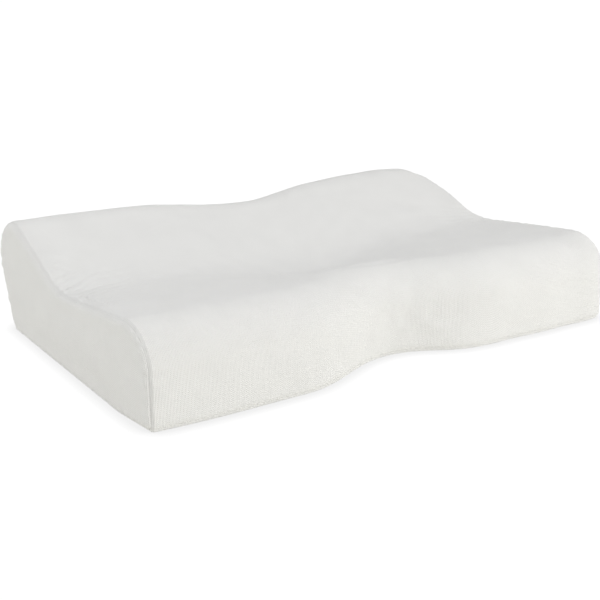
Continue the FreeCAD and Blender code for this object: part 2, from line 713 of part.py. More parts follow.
def build():
    outer = pillow_form("cover_outer", "0")
    inner = pillow_form("cover_inner", "Sizes.cover_cloth")
    liner_out = pillow_form("liner_outer_form", LINER_DEPTH)
    liner_in = pillow_form("liner_inner_form", LINER_INNER)
    core = pillow_form("core_form", CORE_DEPTH)
    seam_out = pillow_form("overlock_outer_form", "Sizes.cover_cloth + Sizes.overlock_play")
    seam_in = pillow_form("overlock_inner_form", f"{LINER_DEPTH} - Sizes.overlock_play")
    nodes = make_cover(outer, inner)
    liner_outer = slack_at_rear("liner_outer", liner_out, LINER_DEPTH)
    liner_inner = slack_at_rear("liner_inner", liner_in, LINER_INNER)
    nodes.update(make_liner(liner_outer, liner_inner))
    nodes["foam_core"] = slack_at_rear("foam_core", core, CORE_DEPTH)
    nodes.update(make_overlock_seams(seam_out, seam_in))
    for word, side in (("upper", 1), ("lower", -1)):
        nodes[f"zip_tape_{word}"] = make_tape(word, side)
        nodes[f"zip_coil_{word}"] = make_coil(word, side)
        nodes[f"zip_topstitch_{word}"] = make_topstitch(word, side)
    nodes.update(make_stops())
    nodes["zip_slider_body"] = make_slider()
    nodes["zip_pull_tab"] = make_pull_tab()
    nodes["care_label"] = make_care_label()
    for name, item in nodes.items():
        item.Label = name
    doc.recompute()
    return nodes


def check(nodes):
    """Stops before anything is written if an object failed or a sub-part's shape isn't sound."""
    for item in doc.Objects:
        if "Invalid" in item.State or "Error" in item.State:
            raise RuntimeError(f"{item.Name} failed to compute: {item.State}")
    unsound = []
    for name, item in nodes.items():
        shape = item.Shape
        if shape.isNull() or not shape.isValid() or not shape.Solids:
            unsound.append(name)
    if unsound:
        raise RuntimeError(f"no sound solid in {unsound}")


def export(nodes):
    os.makedirs("parts", exist_ok=True)
    for name, item in nodes.items():
        item.Shape.exportStep(os.path.join("parts", f"{name}.step"))


def main():
    nodes = build()
    check(nodes)
    export(nodes)
    for name, item in sorted(nodes.items()):
        print(f"{name:24s} solids {len(item.Shape.Solids)}  volume {item.Shape.Volume:12.1f} mm3")


main()
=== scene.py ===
"""Contour neck pillow: a knit cover with sewn panels and a zip, over a jersey liner and a foam core.

The form is worked out in millimetres, and every Blender mesh is in metres. It is the CAD model's
form: side profiles of five arcs and five lines, eased along X from the dipped centre over the
wings to the ends. Each layer of the pillow is that form at its own depth, so all layers share one
grid of points. A cloth simulation with air pressure inside gives the crown of the faces.
"""

import math

import bmesh
import bpy
import numpy as np
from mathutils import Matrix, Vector, geometry, kdtree


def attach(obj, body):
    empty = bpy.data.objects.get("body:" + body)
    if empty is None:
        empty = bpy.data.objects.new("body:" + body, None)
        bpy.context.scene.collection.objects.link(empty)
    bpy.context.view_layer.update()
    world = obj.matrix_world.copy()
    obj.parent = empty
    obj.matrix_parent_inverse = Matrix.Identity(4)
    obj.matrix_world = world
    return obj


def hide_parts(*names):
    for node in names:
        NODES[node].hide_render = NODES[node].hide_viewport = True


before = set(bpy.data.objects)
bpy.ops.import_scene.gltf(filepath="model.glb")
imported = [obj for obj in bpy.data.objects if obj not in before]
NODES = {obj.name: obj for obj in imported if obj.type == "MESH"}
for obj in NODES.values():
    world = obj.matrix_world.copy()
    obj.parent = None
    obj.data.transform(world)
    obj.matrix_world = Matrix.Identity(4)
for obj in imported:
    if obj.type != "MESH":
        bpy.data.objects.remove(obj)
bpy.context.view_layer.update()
BODY = "pillow"
MM = 0.001
scene = bpy.context.scene
rng = np.random.default_rng(7)

# ---------------------------------------------------------------------- sizes, in millimetres

HALF_W = 275.0
END_R = 7.0
END_X = HALF_W - END_R
TOE_R, HEEL_R, REAR_R, VALLEY_R, FRONT_R = 9.0, 14.0, 45.0, 105.0, 39.0
SOLE_TRIM = 0.05
HEEL_BACK, LEAN = 153.5, math.radians(20)
WING = dict(front=-178.0, lobe=89.5, valley=-2.0, floor=73.0, crest=120.5)
CENTRE = dict(front=-144.0, lobe=85.5, valley=-9.0, floor=58.5, crest=106.0)
END = dict(front=-173.5, lobe=89.5, valley=0.0, floor=75.0, crest=118.5)
REACH = dict(front=118.0, lobe=118.0, valley=168.0, floor=168.0, crest=168.0)
WING_AT = 190.0
SEAM = 2.3

CLOTH, COVER_GAP, JERSEY, LINER_GAP, REAR_EASE = 1.6, 1.0, 0.8, 0.3, 2.0
LINER = CLOTH + COVER_GAP
FOAM = LINER + JERSEY + LINER_GAP

ZIP_Z, ZIP_HALF = 31.0, 235.0
MOUTH, MOUTH_HALF = 13.0, 239.0
UP = np.array([0.0, math.sin(LEAN), math.cos(LEAN)])
OUT = np.array([0.0, math.cos(LEAN), -math.sin(LEAN)])
ZIP_LINE = np.array([0.0, HEEL_BACK + ZIP_Z * math.tan(LEAN), ZIP_Z])
TAPE_FACE, TAPE_CLOTH, TAPE_WIDTH, TAPE_HALF = 1.65, 0.5, 15.0, 247.0
CHAIN_GAP, COIL_WIDTH, COIL_TOP = 1.4, 2.7, -0.8
STITCH_UP = MOUTH / 2 + 2.2
LABEL_X, LABEL_WIDTH, LABEL_DROP = -254.0, 26.0, 24.0


def on_rear(x, up, depth):
    """Points in the zip's frame: along it, up the rear face, and in below the fabric's face."""
    x, up, depth = np.broadcast_arrays(*(np.asarray(v, float) for v in (x, up, depth)))
    point = ZIP_LINE + up[..., None] * UP - depth[..., None] * OUT
    point[..., 0] = x
    return point


# ---------------------------------------------------------------------- the form

def profile_sizes(x):
    """Front, lobe, valley, floor and crest of the profile at x."""
    outer = max((abs(x) - WING_AT) / (END_X - WING_AT), 0.0) ** 2
    sizes = {}
    for key, wing in WING.items():
        middle = (1 + math.cos(math.pi * min(abs(x) / REACH[key], 1.0))) / 2
        sizes[key] = wing + middle * (CENTRE[key] - wing) + outer * (END[key] - wing)
    return sizes


def circles_at(x, inset):
    """The five arcs as (y, z, signed radius), anticlockwise from the toe, seen along -X."""
    s = profile_sizes(x)

    def behind(height, radius):
        return HEEL_BACK + (height * math.sin(LEAN) - radius) / math.cos(LEAN)

    crest = s["crest"] - REAR_R
    heel = HEEL_R - SOLE_TRIM
    return [
        (s["front"] + TOE_R, TOE_R - SOLE_TRIM, TOE_R - inset),
        (behind(heel, HEEL_R), heel, HEEL_R - inset),
        (behind(crest, REAR_R), crest, REAR_R - inset),
        (s["valley"], s["floor"] + VALLEY_R, -(VALLEY_R + inset)),
        (s["front"] + FRONT_R, s["lobe"] - FRONT_R, FRONT_R - inset),
    ]


def line_heading(a, b):
    """Heading of the line that touches circle a and then circle b."""
    dy, dz = b[0] - a[0], b[1] - a[1]
    return math.atan2(dz, dy) - math.asin((b[2] - a[2]) / math.hypot(dy, dz))


# edges in each run round the profile: toe seam, bottom, heel seam, rear, crest, valley, lobe, front
COUNTS = dict(toe_low=4, bottom=64, heel_low=4, heel_high=8, band=8, mouth=6, rear=7, crest=42,
              slope=16, hollow=22, rise=34, lobe=40, front=20, toe_high=5)
PANEL_OF = dict(toe_low="bottom", bottom="bottom", heel_low="bottom", heel_high="band",
                band="band", mouth="mouth")
RUN_OF = [name for name in COUNTS for _ in range(COUNTS[name])]
RING = len(RUN_OF)
HEEL_SEAM_AT = RUN_OF.index("heel_high")
MOUTH_AT = RUN_OF.index("mouth")


def profile_points(x, inset):
    """Points (y, z) round the profile at x, moved in by inset."""
    c = circles_at(x, inset)
    heads = [line_heading(c[i], c[(i + 1) % 5]) for i in range(5)]
    front_head = -math.pi / 2
    heads[3] %= 2 * math.pi

    def at(i, heading):
        y, z, r = c[i]
        return np.array([y + r * math.sin(heading), z - r * math.cos(heading)])

    def arc(i, start, end, n):
        return [at(i, start + (end - start) * k / n) for k in range(n)]

    def line(p, q, n):
        return [p + (q - p) * k / n for k in range(n)]

    toe_seam = -math.acos(min(1.0, (c[0][1] - SEAM) / c[0][2]))
    heel_seam = math.acos(min(1.0, (c[1][1] - SEAM) / c[1][2]))
    lips = [ZIP_LINE[1:] - inset * OUT[1:] + side * MOUTH / 2 * UP[1:] for side in (-1, 1)]
    n = COUNTS
    runs = [
        arc(0, toe_seam, 0.0, n["toe_low"]),
        line(at(0, 0.0), at(1, 0.0), n["bottom"]),
        arc(1, 0.0, heel_seam, n["heel_low"]),
        arc(1, heel_seam, heads[1], n["heel_high"]),
        line(at(1, heads[1]), lips[0], n["band"]),
        line(lips[0], lips[1], n["mouth"]),
        line(lips[1], at(2, heads[1]), n["rear"]),
        arc(2, heads[1], heads[2], n["crest"]),
        line(at(2, heads[2]), at(3, heads[2]), n["slope"]),
        arc(3, heads[2], heads[3], n["hollow"]),
        line(at(3, heads[3]), at(4, heads[3]), n["rise"]),
        arc(4, heads[3], front_head + 2 * math.pi, n["lobe"]),
        line(at(4, front_head), at(0, front_head), n["front"]),
        arc(0, front_head, toe_seam, n["toe_high"]),
    ]
    return np.array([p for run in runs for p in run])


SEAM_STEP = 5
SEAM_TURN = math.asin((END_R - SEAM) / END_R)


def stations():
    """(x, turn) of every ring: its x, and how far round the end's corner it is, in radians."""
    half = list(np.linspace(0.0, MOUTH_HALF, 80)) + list(np.linspace(MOUTH_HALF, END_X, 11))[1:]
    main = [-v for v in half[:0:-1]] + half
    turns = list(np.linspace(0, SEAM_TURN, 6))[1:]
    turns += list(np.linspace(SEAM_TURN, math.pi / 2, SEAM_STEP + 1))[1:]
    left = [(-END_X, -t) for t in turns[::-1]]
    return left + [(v, 0.0) for v in main] + [(END_X, t) for t in turns]


STATIONS = stations()
ROWS = len(STATIONS)


def grid_inside(outline, pitch):
    """Staggered grid points inside a closed outline, none near its edge."""
    low, high = outline.min(0), outline.max(0)
    found = []
    tree = kdtree.KDTree(len(outline))
    for i, p in enumerate(outline):
        tree.insert((p[0], p[1], 0), i)
    tree.balance()
    following = np.roll(outline, -1, 0)
    for row, z in enumerate(np.arange(low[1] + pitch, high[1], pitch * 0.87)):
        for y in np.arange(low[0] + pitch * (0.5 if row % 2 else 1.0), high[0], pitch):
            crosses = (outline[:, 1] > z) != (following[:, 1] > z)
            a, b = outline[crosses], following[crosses]
            meets = a[:, 0] + (z - a[:, 1]) / (b[:, 1] - a[:, 1]) * (b[:, 0] - a[:, 0])
            if (meets > y).sum() % 2 and tree.find((y, z, 0))[2] > pitch * 0.6:
                found.append((y, z))
    return np.array(found)


END_PITCH = 3.5
END_OUTLINE = profile_points(END_X, END_R)
END_GRID = grid_inside(END_OUTLINE, END_PITCH)
LEFT_FILL = ROWS * RING
RIGHT_FILL = LEFT_FILL + len(END_GRID)


def layer_points(depth, rear_depth=None):
    """The shared grid's points at depth below the cover's face, and flat at rear_depth behind."""
    rings, radius = [], END_R - depth
    for x, turn in STATIONS:
        ring = profile_points(x, depth + radius * (1 - math.cos(turn)))
        rings.append(np.column_stack([np.full(RING, x + radius * math.sin(turn)), ring]))
    for side in (-1, 1):
        rings.append(np.column_stack([np.full(len(END_GRID), side * (HALF_W - depth)), END_GRID]))
    points = np.concatenate(rings)
    if rear_depth is not None:
        proud = np.maximum((points - ZIP_LINE) @ OUT + rear_depth, 0)
        points -= proud[:, None] * OUT
    return points


def panel_of(row, j):
    """The sewn panel that the grid's face at row and j belongs to."""
    if row < SEAM_STEP:
        return "left"
    if row >= ROWS - 1 - SEAM_STEP:
        return "right"
    panel = PANEL_OF.get(RUN_OF[j], "wrap")
    middle = abs(STATIONS[row][0] + STATIONS[row + 1][0]) / 2
    if panel == "mouth" and middle > MOUTH_HALF:
        return "band" if j - MOUTH_AT < COUNTS["mouth"] // 2 else "wrap"
    return panel


def grid_faces():
    """Faces of the shared grid, outward, and the panel of each."""
    faces, panels = [], []
    for row in range(ROWS - 1):
        for j in range(RING):
            a, b = row * RING + j, row * RING + (j + 1) % RING
            faces.append((a, b, b + RING, a + RING))
            panels.append(panel_of(row, j))
    flat = [Vector(p) for p in np.concatenate([END_OUTLINE, END_GRID])]
    outline = [(j, (j + 1) % RING) for j in range(RING)]
    _, _, triangles, sources, _, _ = geometry.delaunay_2d_cdt(flat, outline, [], 1, 1e-6)
    triangles = [[sources[v][0] for v in t] for t in triangles]
    for side, ring_at, fill_at in (("left", 0, LEFT_FILL), ("right", (ROWS - 1) * RING, RIGHT_FILL)):
        for t in triangles:
            a, b, c = (flat[v] for v in t)
            turns_left = (b - a).cross(c - a) > 0
            corners = t if turns_left == (side == "right") else t[::-1]
            faces.append(tuple(ring_at + v if v < RING else fill_at + v - RING for v in corners))
            panels.append(side)
    return faces, np.array(panels)


FACES, PANELS = grid_faces()


def normals_of(points):
    """Outward unit normals at the points of the shared grid."""
    mesh = bpy.data.meshes.new("temporary")
    mesh.from_pydata(points.tolist(), [], FACES)
    normals = np.zeros(len(points) * 3, np.float32)
    mesh.vertex_normals.foreach_get("vector", normals)
    bpy.data.meshes.remove(mesh)
    return normals.reshape(-1, 3).astype(float)


FORM = layer_points(0.0)
NORMALS = normals_of(FORM)
END_DISTANCE = HALF_W - np.abs(FORM[:, 0])

# ---------------------------------------------------------------------- the cover's surface

def smooth(value, low, high):
    """0 below low, 1 above high, and eased between."""
    t = np.clip((value - low) / (high - low), 0, 1)
    return t * t * (3 - 2 * t)


def wander(points, size, waves=7):
    """Soft random values near -1 to 1, whose humps are about size millimetres apart."""
    total = np.zeros(len(points))
    for _ in range(waves):
        way = rng.normal(size=3)
        way /= np.linalg.norm(way) * size * rng.uniform(0.7, 1.5)
        total += np.sin(2 * math.pi * points @ way + rng.uniform(0, 2 * math.pi))
    return total / math.sqrt(waves / 2) / 1.6


def ring_arcs():
    """For every point of the rings, the distance round the profile from the toe seam."""
    arcs = []
    for row in range(ROWS):
        ring = FORM[row * RING:(row + 1) * RING]
        steps = np.linalg.norm(np.roll(ring, -1, 0) - ring, axis=1)
        arcs.append(np.concatenate([[0], np.cumsum(steps)]))
    return np.array(arcs)


ARCS = ring_arcs()


def nearest_on(lines, points):
    """Distance from each point to the nearest of the lines' points, and that point's index."""
    tree = kdtree.KDTree(len(lines))
    for i, p in enumerate(lines):
        tree.insert(p, i)
    tree.balance()
    found = [tree.find(p)[1:] for p in points]
    return np.array([f[1] for f in found]), np.array([f[0] for f in found])


def dense(line, closed=False, steps=5):
    """The line with steps points in every gap."""
    following = np.roll(line, -1, 0) if closed else line[1:]
    start = line if closed else line[:-1]
    return np.concatenate([start + (following - start) * k / steps for k in range(steps)])


def ring_line(row):
    """The closed line of a ring, with its gaps filled."""
    return dense(FORM[row * RING:(row + 1) * RING], closed=True)


def long_line(j):
    """The line through every ring's point j, between the two end seams, with its gaps filled."""
    rows = np.arange(SEAM_STEP, ROWS - SEAM_STEP)
    return dense(FORM[rows * RING + j])


END_SEAMS = np.concatenate([ring_line(SEAM_STEP), ring_line(ROWS - 1 - SEAM_STEP)])
FLOOR_SEAMS = np.concatenate([long_line(0), long_line(HEEL_SEAM_AT)])
TO_END_SEAM, END_SEAM_AT = nearest_on(END_SEAMS, FORM)
TO_FLOOR_SEAM, _ = nearest_on(FLOOR_SEAMS, FORM)
TO_SEAM = np.minimum(TO_END_SEAM, TO_FLOOR_SEAM)
REAR_UP = (FORM - ZIP_LINE) @ UP
REAR_DEPTH = -(FORM - ZIP_LINE) @ OUT
NEAR_ZIP = (1 - smooth(REAR_DEPTH, 1, 6)) * (1 - smooth(np.abs(REAR_UP), 14, 26))

CROWN_CAP, TOP_FIRMNESS = 4.2, 0.55
# the simulated bag's mesh, pressure and steps, and how near to each hold its cloth can't move
VOXEL, PRESSURE, LAST_STEP = 6.0, 4.0, 20
HELD_BY_SEAM, HELD_BY_FLOOR, HELD_BY_ZIP = 5.0, 4.0, 17.0
NEIGHBOURS = 8


def crown_by_pressure():
    """How far air pressure lifts the cover between its seams, zip and base, from a cloth simulation."""
    mesh = bpy.data.meshes.new("crown")
    mesh.from_pydata((FORM * MM).tolist(), [], FACES)
    bag = bpy.data.objects.new("crown", mesh)
    scene.collection.objects.link(bag)
    bpy.context.view_layer.objects.active = bag
    bag.select_set(True)
    voxels = bag.modifiers.new("voxels", "REMESH")
    voxels.mode = "VOXEL"
    voxels.voxel_size = VOXEL * MM
    bpy.ops.object.modifier_apply(modifier="voxels")
    rest = np.array([v.co for v in bag.data.vertices]) / MM
    normals = np.array([v.normal for v in bag.data.vertices])
    to_seam, _ = nearest_on(np.concatenate([END_SEAMS, FLOOR_SEAMS]), rest)
    depth, up = -(rest - ZIP_LINE) @ OUT, (rest - ZIP_LINE) @ UP
    held = (to_seam < HELD_BY_SEAM) | (rest[:, 2] < HELD_BY_FLOOR)
    held |= (depth < HELD_BY_SEAM) & (np.abs(up) < HELD_BY_ZIP)
    pins = bag.vertex_groups.new(name="pins")
    pins.add(np.flatnonzero(held).tolist(), 1.0, "REPLACE")
    cloth = bag.modifiers.new("cloth", "CLOTH")
    cloth.settings.quality = 6
    cloth.settings.mass = 0.3
    cloth.settings.tension_stiffness = 60
    cloth.settings.compression_stiffness = 60
    cloth.settings.shear_stiffness = 20
    cloth.settings.bending_stiffness = 2
    cloth.settings.vertex_group_mass = "pins"
    cloth.settings.use_pressure = True
    cloth.settings.uniform_pressure_force = PRESSURE
    cloth.settings.effector_weights.gravity = 0
    for step in range(1, LAST_STEP + 1):
        scene.frame_set(step)
    bpy.ops.object.modifier_apply(modifier="cloth")
    moved = np.array([v.co for v in bag.data.vertices]) / MM
    scene.frame_set(1)
    bpy.data.objects.remove(bag)
    lift = np.clip(((moved - rest) * normals).sum(1), 0, 30)
    tree = kdtree.KDTree(len(rest))
    for i, p in enumerate(rest):
        tree.insert(p, i)
    tree.balance()
    found = np.zeros(len(FORM))
    for i, p in enumerate(FORM):
        near = tree.find_n(p, NEIGHBOURS)
        weights = np.array([1 / (n[2] + 2.0) ** 2 for n in near])
        found[i] = (lift[[n[1] for n in near]] * weights).sum() / weights.sum()
    return found


def crown():
    """The slow swell of the cover, in millimetres out from the form."""
    lift = crown_by_pressure()
    lift = CROWN_CAP * np.tanh(lift / CROWN_CAP)
    free = smooth(TO_SEAM, 0, 22) * smooth(FORM[:, 2], 1, 12) * (1 - NEAR_ZIP)
    return lift * free * (1 - TOP_FIRMNESS * smooth(NORMALS[:, 2], 0.2, 0.8))


# (x, height, half width) of each
CREST_BUMPS = [(-165, -2.4, 60), (78, 2.4, 42), (205, 1.3, 30)]


def uneven_crest():
    """Small rises and dips along the rear lobe."""
    x, y = FORM[:, 0], FORM[:, 1]
    over = smooth(y, 40, 110) * smooth(FORM[:, 2], 60, 100)
    height = sum(h * np.exp(-((x - at) / width) ** 2) for at, h, width in CREST_BUMPS)
    return height * over


CORNER_DROP, SHOULDER_RISE = 11.0, 1.8


def settled(points):
    """The points with the crest's right end sunk and the valley's right end a little higher."""
    x, y, z = points.T
    drop = CORNER_DROP * smooth(x, 240, 278) * smooth(y, 60, 150) * smooth(z, 40, 100)
    rise = SHOULDER_RISE * smooth(x, 215, 270) * smooth(z, 45, 75)
    rise *= smooth(y, -165, -125) * (1 - smooth(y, 0, 50))
    return points + np.column_stack([0 * x, 0 * x, rise - drop])


TOE_FILL, LEFT_FILL_SHARE, RIGHT_FILL_SHARE = 0.72, 0.9, -0.3
LEFT_OUT, RIGHT_OUT = 3.0, -1.9
RECESS_OUT, RECESS_OUT_AT, RECESS_OUT_WIDTH = 3.5, 68, 26
WING_OUT, WING_END_OUT = 3.5, 5.0


def set_back(z, radius):
    """How far a round lower edge of that radius stands back from its face at height z."""
    rise = np.clip(1 - z / radius, 0, 1)
    return radius * (1 - np.sqrt(1 - rise ** 2))


def slack(points):
    """How the sewn cover stands away from the foam at its lower edges and ends, as a shift."""
    x, y, z = points.T
    shift = np.zeros_like(points)
    front_line = np.array([profile_sizes(v)["front"] for v in x])
    near_toe = 1 - smooth(y - front_line, 9, 45)
    shift[:, 1] -= TOE_FILL * set_back(z, TOE_R) * near_toe
    in_recess = np.exp(-((x - RECESS_OUT_AT) / RECESS_OUT_WIDTH) ** 2) * (1 - smooth(z, 10, 55))
    shift[:, 1] -= RECESS_OUT * in_recess * near_toe
    front = 1 - smooth(y, -130, -70)
    shift[:, 1] -= (WING_OUT * smooth(x, 130, 190) + WING_END_OUT * smooth(x, 205, 262)) * front
    full_left = smooth(y, -190, -110) * smooth(-x, 225, END_X)
    left_base, right_base = (set_back(z, END_R) * smooth(s * x, 240, END_X) for s in (-1, 1))
    shift[:, 0] -= (LEFT_OUT + LEFT_FILL_SHARE * left_base) * full_left
    full_right = (1 - smooth(y, -60, 60)) * smooth(x, 225, END_X)
    shift[:, 0] += RIGHT_OUT * full_right + RIGHT_FILL_SHARE * right_base
    return shift


END_GROOVE, CORNER_GROOVE, FLOOR_GROOVE, SEAM_SWELL = 0.15, 0.4, 0.6, 0.3
PUCKERS = ((9.5, 0.42), (13.1, 0.5), (17.7, 0.36))
ANY_PHASE = 6.28


def seam_relief():
    """The grooves at the seams, the swell beside them and the small puckers across them."""
    corner = smooth(-FORM[:, 1], 130, 170) * (1 - smooth(FORM[:, 2], 30, 90))
    groove = -(END_GROOVE + CORNER_GROOVE * corner) * np.exp(-(TO_END_SEAM / 0.9) ** 2)
    groove -= FLOOR_GROOVE * np.exp(-(TO_FLOOR_SEAM / 1.5) ** 2)
    swell = SEAM_SWELL * np.exp(-((TO_SEAM - 6.5) / 4.5) ** 2)
    path = np.concatenate([[0], np.cumsum(np.linalg.norm(np.diff(END_SEAMS, axis=0), axis=1))])
    run = path[END_SEAM_AT] + 3.0 * wander(FORM, 60)
    fade = (1 - np.exp(-(TO_END_SEAM / 1.6) ** 2)) * np.exp(-TO_END_SEAM / 8.0)
    puckers = sum(
        amount * np.cos(2 * math.pi * run / wave + rng.uniform(0, ANY_PHASE))
        for wave, amount in PUCKERS
    )
    uneven = 0.7 + 0.45 * wander(FORM, 70)
    return groove + swell + puckers * fade * uneven


PULL_DEPTH, PULL_WAVES, PULL_REACH, PULL_SLANT = 1.25, (10.5, 6.9), 40, 0.16
RIGHT_PULL_SHARE = 0.6


def valley_pulls():
    """Fine lines that the left and right end seams pull into the valley and its slopes."""
    arc = np.concatenate([ARCS[:, :-1].ravel(), np.zeros(len(FORM) - ROWS * RING)])
    y = FORM[:, 1]
    where = smooth(y, -95, -55) * (1 - smooth(y, 75, 125)) * smooth(FORM[:, 2], 40, 60)
    fade = np.exp(-np.maximum(END_DISTANCE - 6, 0) / PULL_REACH) * smooth(END_DISTANCE, 2, 12)
    slant = arc + PULL_SLANT * END_DISTANCE + 2.5 * wander(FORM, 55)
    long, short = (2 * math.pi * slant / wave for wave in PULL_WAVES)
    lines = np.cos(long) + 0.6 * np.cos(short + 1.7)
    side = np.where(FORM[:, 0] < 0, 1.0, RIGHT_PULL_SHARE)
    return PULL_DEPTH * lines * where * fade * side


# (start, end, depth) on the front face in x and z, and (start, end, depth, width) on top in x and y
FRONT_CREASES = [((10, 20), (36, 74), 0.55), ((36, 22), (56, 64), 0.5), ((58, 28), (76, 58), 0.35),
                 ((-34, 24), (-10, 58), 0.3)]
TOP_CREASES = [((-40, 125), (20, 8), 0.75, 6.0)]
FRONT_CREASE_WIDTH = 4.2
# the front lobe's crease is a low step, that runs along the lobe's top and faces the valley
LOBE_STEP, LOBE_STEP_WIDTH, LOBE_STEP_REACH = 1.2, 3.0, 22
LOBE_STEP_X, LOBE_STEP_Y, LOBE_STEP_SLANT = 9, -110, 0.12


def crease(plane, start, end, amount, width):
    """A soft fold line in a plane from start to end, with the cloth raised beside it."""
    p, q = np.array(start, float), np.array(end, float)
    length = np.linalg.norm(q - p)
    way = (q - p) / length
    along = (plane - p) @ way / length
    across = (plane - p) @ np.array([-way[1], way[0]]) + 0.4 * width * np.sin(along * 5)
    ends = smooth(along, -0.1, 0.35) * (1 - smooth(along, 0.65, 1.1))
    shape = -np.exp(-(across / width) ** 2) + 0.4 * np.exp(-((across / width - 2.4) / 1.6) ** 2)
    return amount * ends * shape


def creases():
    """Slanting folds in the recessed front face, a trough down the valley and the lobe's crease."""
    front = sum(crease(FORM[:, [0, 2]], *line, FRONT_CREASE_WIDTH) for line in FRONT_CREASES)
    top = sum(crease(FORM[:, [0, 1]], *line) for line in TOP_CREASES)
    x, y = FORM[:, 0], FORM[:, 1]
    behind = y - LOBE_STEP_Y + LOBE_STEP_SLANT * (x - LOBE_STEP_X) + 0.8 * np.sin(x / 15)
    step = smooth(behind, -LOBE_STEP_WIDTH, LOBE_STEP_WIDTH)
    step *= np.exp(-np.maximum(behind, 0) / LOBE_STEP_REACH)
    ends = smooth(x, -58, -8) * (1 - smooth(x, 40, 82))
    top -= LOBE_STEP * step * ends
    return front * smooth(-NORMALS[:, 1], 0.5, 0.9) + top * smooth(NORMALS[:, 2], 0.4, 0.7)


def fabric_relief():
    """All the fine relief of the cover, in millimetres out from the form."""
    slow = 0.35 * wander(FORM, 95) + 0.14 * wander(FORM, 32)
    slow *= smooth(TO_SEAM, 1, 12) * smooth(FORM[:, 2], 0.5, 8)
    stitched = np.abs(np.abs(REAR_UP) - STITCH_UP)
    behind = (1 - smooth(REAR_DEPTH, 1, 6)) * (1 - smooth(np.abs(FORM[:, 0]), ZIP_HALF, MOUTH_HALF))
    channel = -0.3 * np.exp(-(stitched / 1.3) ** 2) * behind
    flat = 1 - NEAR_ZIP
    fine = seam_relief() + valley_pulls() + creases()
    return (slow + fine) * flat + channel


# ---------------------------------------------------------------------- pieces

def rounded_cloth_coordinates():
    """Where each point lies on the fabric, in millimetres: along the pillow, and round it."""
    across = np.zeros((len(FORM), 3))
    rings = np.arange(ROWS * RING)
    across[rings, 0] = FORM[rings, 0]
    across[rings, 1] = ARCS[:, :-1].ravel()
    return across


def make_object(name, points, faces, material, body=BODY, sharp=50):
    """A mesh object in metres from points in millimetres, riding on body."""
    mesh = bpy.data.meshes.new(name)
    mesh.from_pydata((np.asarray(points) * MM).tolist(), [], faces)
    mesh.validate()
    mesh.materials.append(material)
    mesh.shade_smooth()
    mesh.set_sharp_from_angle(angle=math.radians(sharp))
    piece = bpy.data.objects.new(name, mesh)
    scene.collection.objects.link(piece)
    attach(piece, body)
    return piece


def put_cloth_map(piece, coordinates):
    """Stores where each point lies on the fabric, for the weave."""
    layer = piece.data.attributes.new("cloth", "FLOAT_VECTOR", "POINT")
    layer.data.foreach_set("vector", np.asarray(coordinates, np.float32).ravel())


def layer_sheet(name, wanted, outer, inner, material):
    """One closed sheet of the shared grid: the wanted panels, from the outer to the inner face."""
    chosen = [f for f, panel in zip(FACES, PANELS) if panel in wanted]
    used = sorted({v for f in chosen for v in f})
    new = {v: i for i, v in enumerate(used)}
    n = len(used)
    top = [tuple(new[v] for v in f) for f in chosen]
    faces = top + [tuple(v + n for v in f[::-1]) for f in top]
    edges = dict.fromkeys(edge for f in top for edge in zip(f, f[1:] + f[:1]))
    for a, b in edges:
        if (b, a) not in edges:
            faces.append((b, a, a + n, b + n))
    piece = make_object(name, np.concatenate([outer[used], inner[used]]), faces, material)
    end_cloth = np.column_stack([FORM[used, 1], FORM[used, 2], np.zeros(n)])
    ring_cloth = CLOTH_MAP[used].copy()
    if "wrap" in wanted and "bottom" not in wanted:
        last = (np.array(used) % RING == 0) & (np.array(used) < ROWS * RING)
        ring_cloth[last, 1] = ARCS[np.array(used)[last] // RING, -1]
    cloth = end_cloth if wanted <= {"left", "right"} else ring_cloth
    put_cloth_map(piece, np.concatenate([cloth, cloth]))
    return piece


def finish_piece(piece, node):
    """Hides the CAD node that the piece stands in for."""
    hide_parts(node)
    return piece

# ---------------------------------------------------------------------- materials

class Nodes:
    """A node tree that is built one node per call."""

    def __init__(self, tree):
        self.tree = tree

    def add(self, kind, inputs, out=0, **settings):
        """A node with its settings and inputs, and its output socket."""
        node = self.tree.nodes.new("ShaderNode" + kind)
        for key, value in settings.items():
            setattr(node, key, value)
        for key, value in inputs.items():
            if isinstance(value, bpy.types.NodeSocket):
                self.tree.links.new(value, node.inputs[key])
            else:
                node.inputs[key].default_value = value
        return node.outputs[out]

    def calc(self, operation, *values):
        """The result of a Math node."""
        return self.add("Math", dict(enumerate(values)), operation=operation)

    def fabric_axes(self):
        """Where a point lies on its fabric, in millimetres: along and across."""
        place = self.add("Attribute", {}, out="Vector", attribute_name="cloth")
        split = self.add("SeparateXYZ", {0: place}, out=0)
        return place, split.node.outputs[0], split.node.outputs[1]

    def solid_place(self):
        """Where a point lies in its object, in metres."""
        return self.add("TexCoord", {}, out="Object")

    def noise(self, place, scale, detail=3.0, rough=0.5):
        """Soft noise, with about scale humps per unit of place."""
        inputs = {"Vector": place, "Scale": scale, "Detail": detail, "Roughness": rough}
        return self.add("TexNoise", inputs, out="Fac")

    def mix(self, factor, low, high):
        """The colour from low to high as the factor goes from 0 to 1."""
        inputs = {0: factor, 6: (*low, 1), 7: (*high, 1)}
        return self.add("Mix", inputs, out=2, data_type="RGBA")

    def tint(self, factor, colour, low, high):
        """The colour, multiplied by a grey from low to high as the factor goes from 0 to 1."""
        grey = self.add("MapRange", {0: factor, 1: 0.3, 2: 0.7, 3: low, 4: high})
        inputs = {0: 1.0, 6: colour, 7: self.add("CombineColor", {0: grey, 1: grey, 2: grey})}
        return self.add("Mix", inputs, out=2, data_type="RGBA", blend_type="MULTIPLY")


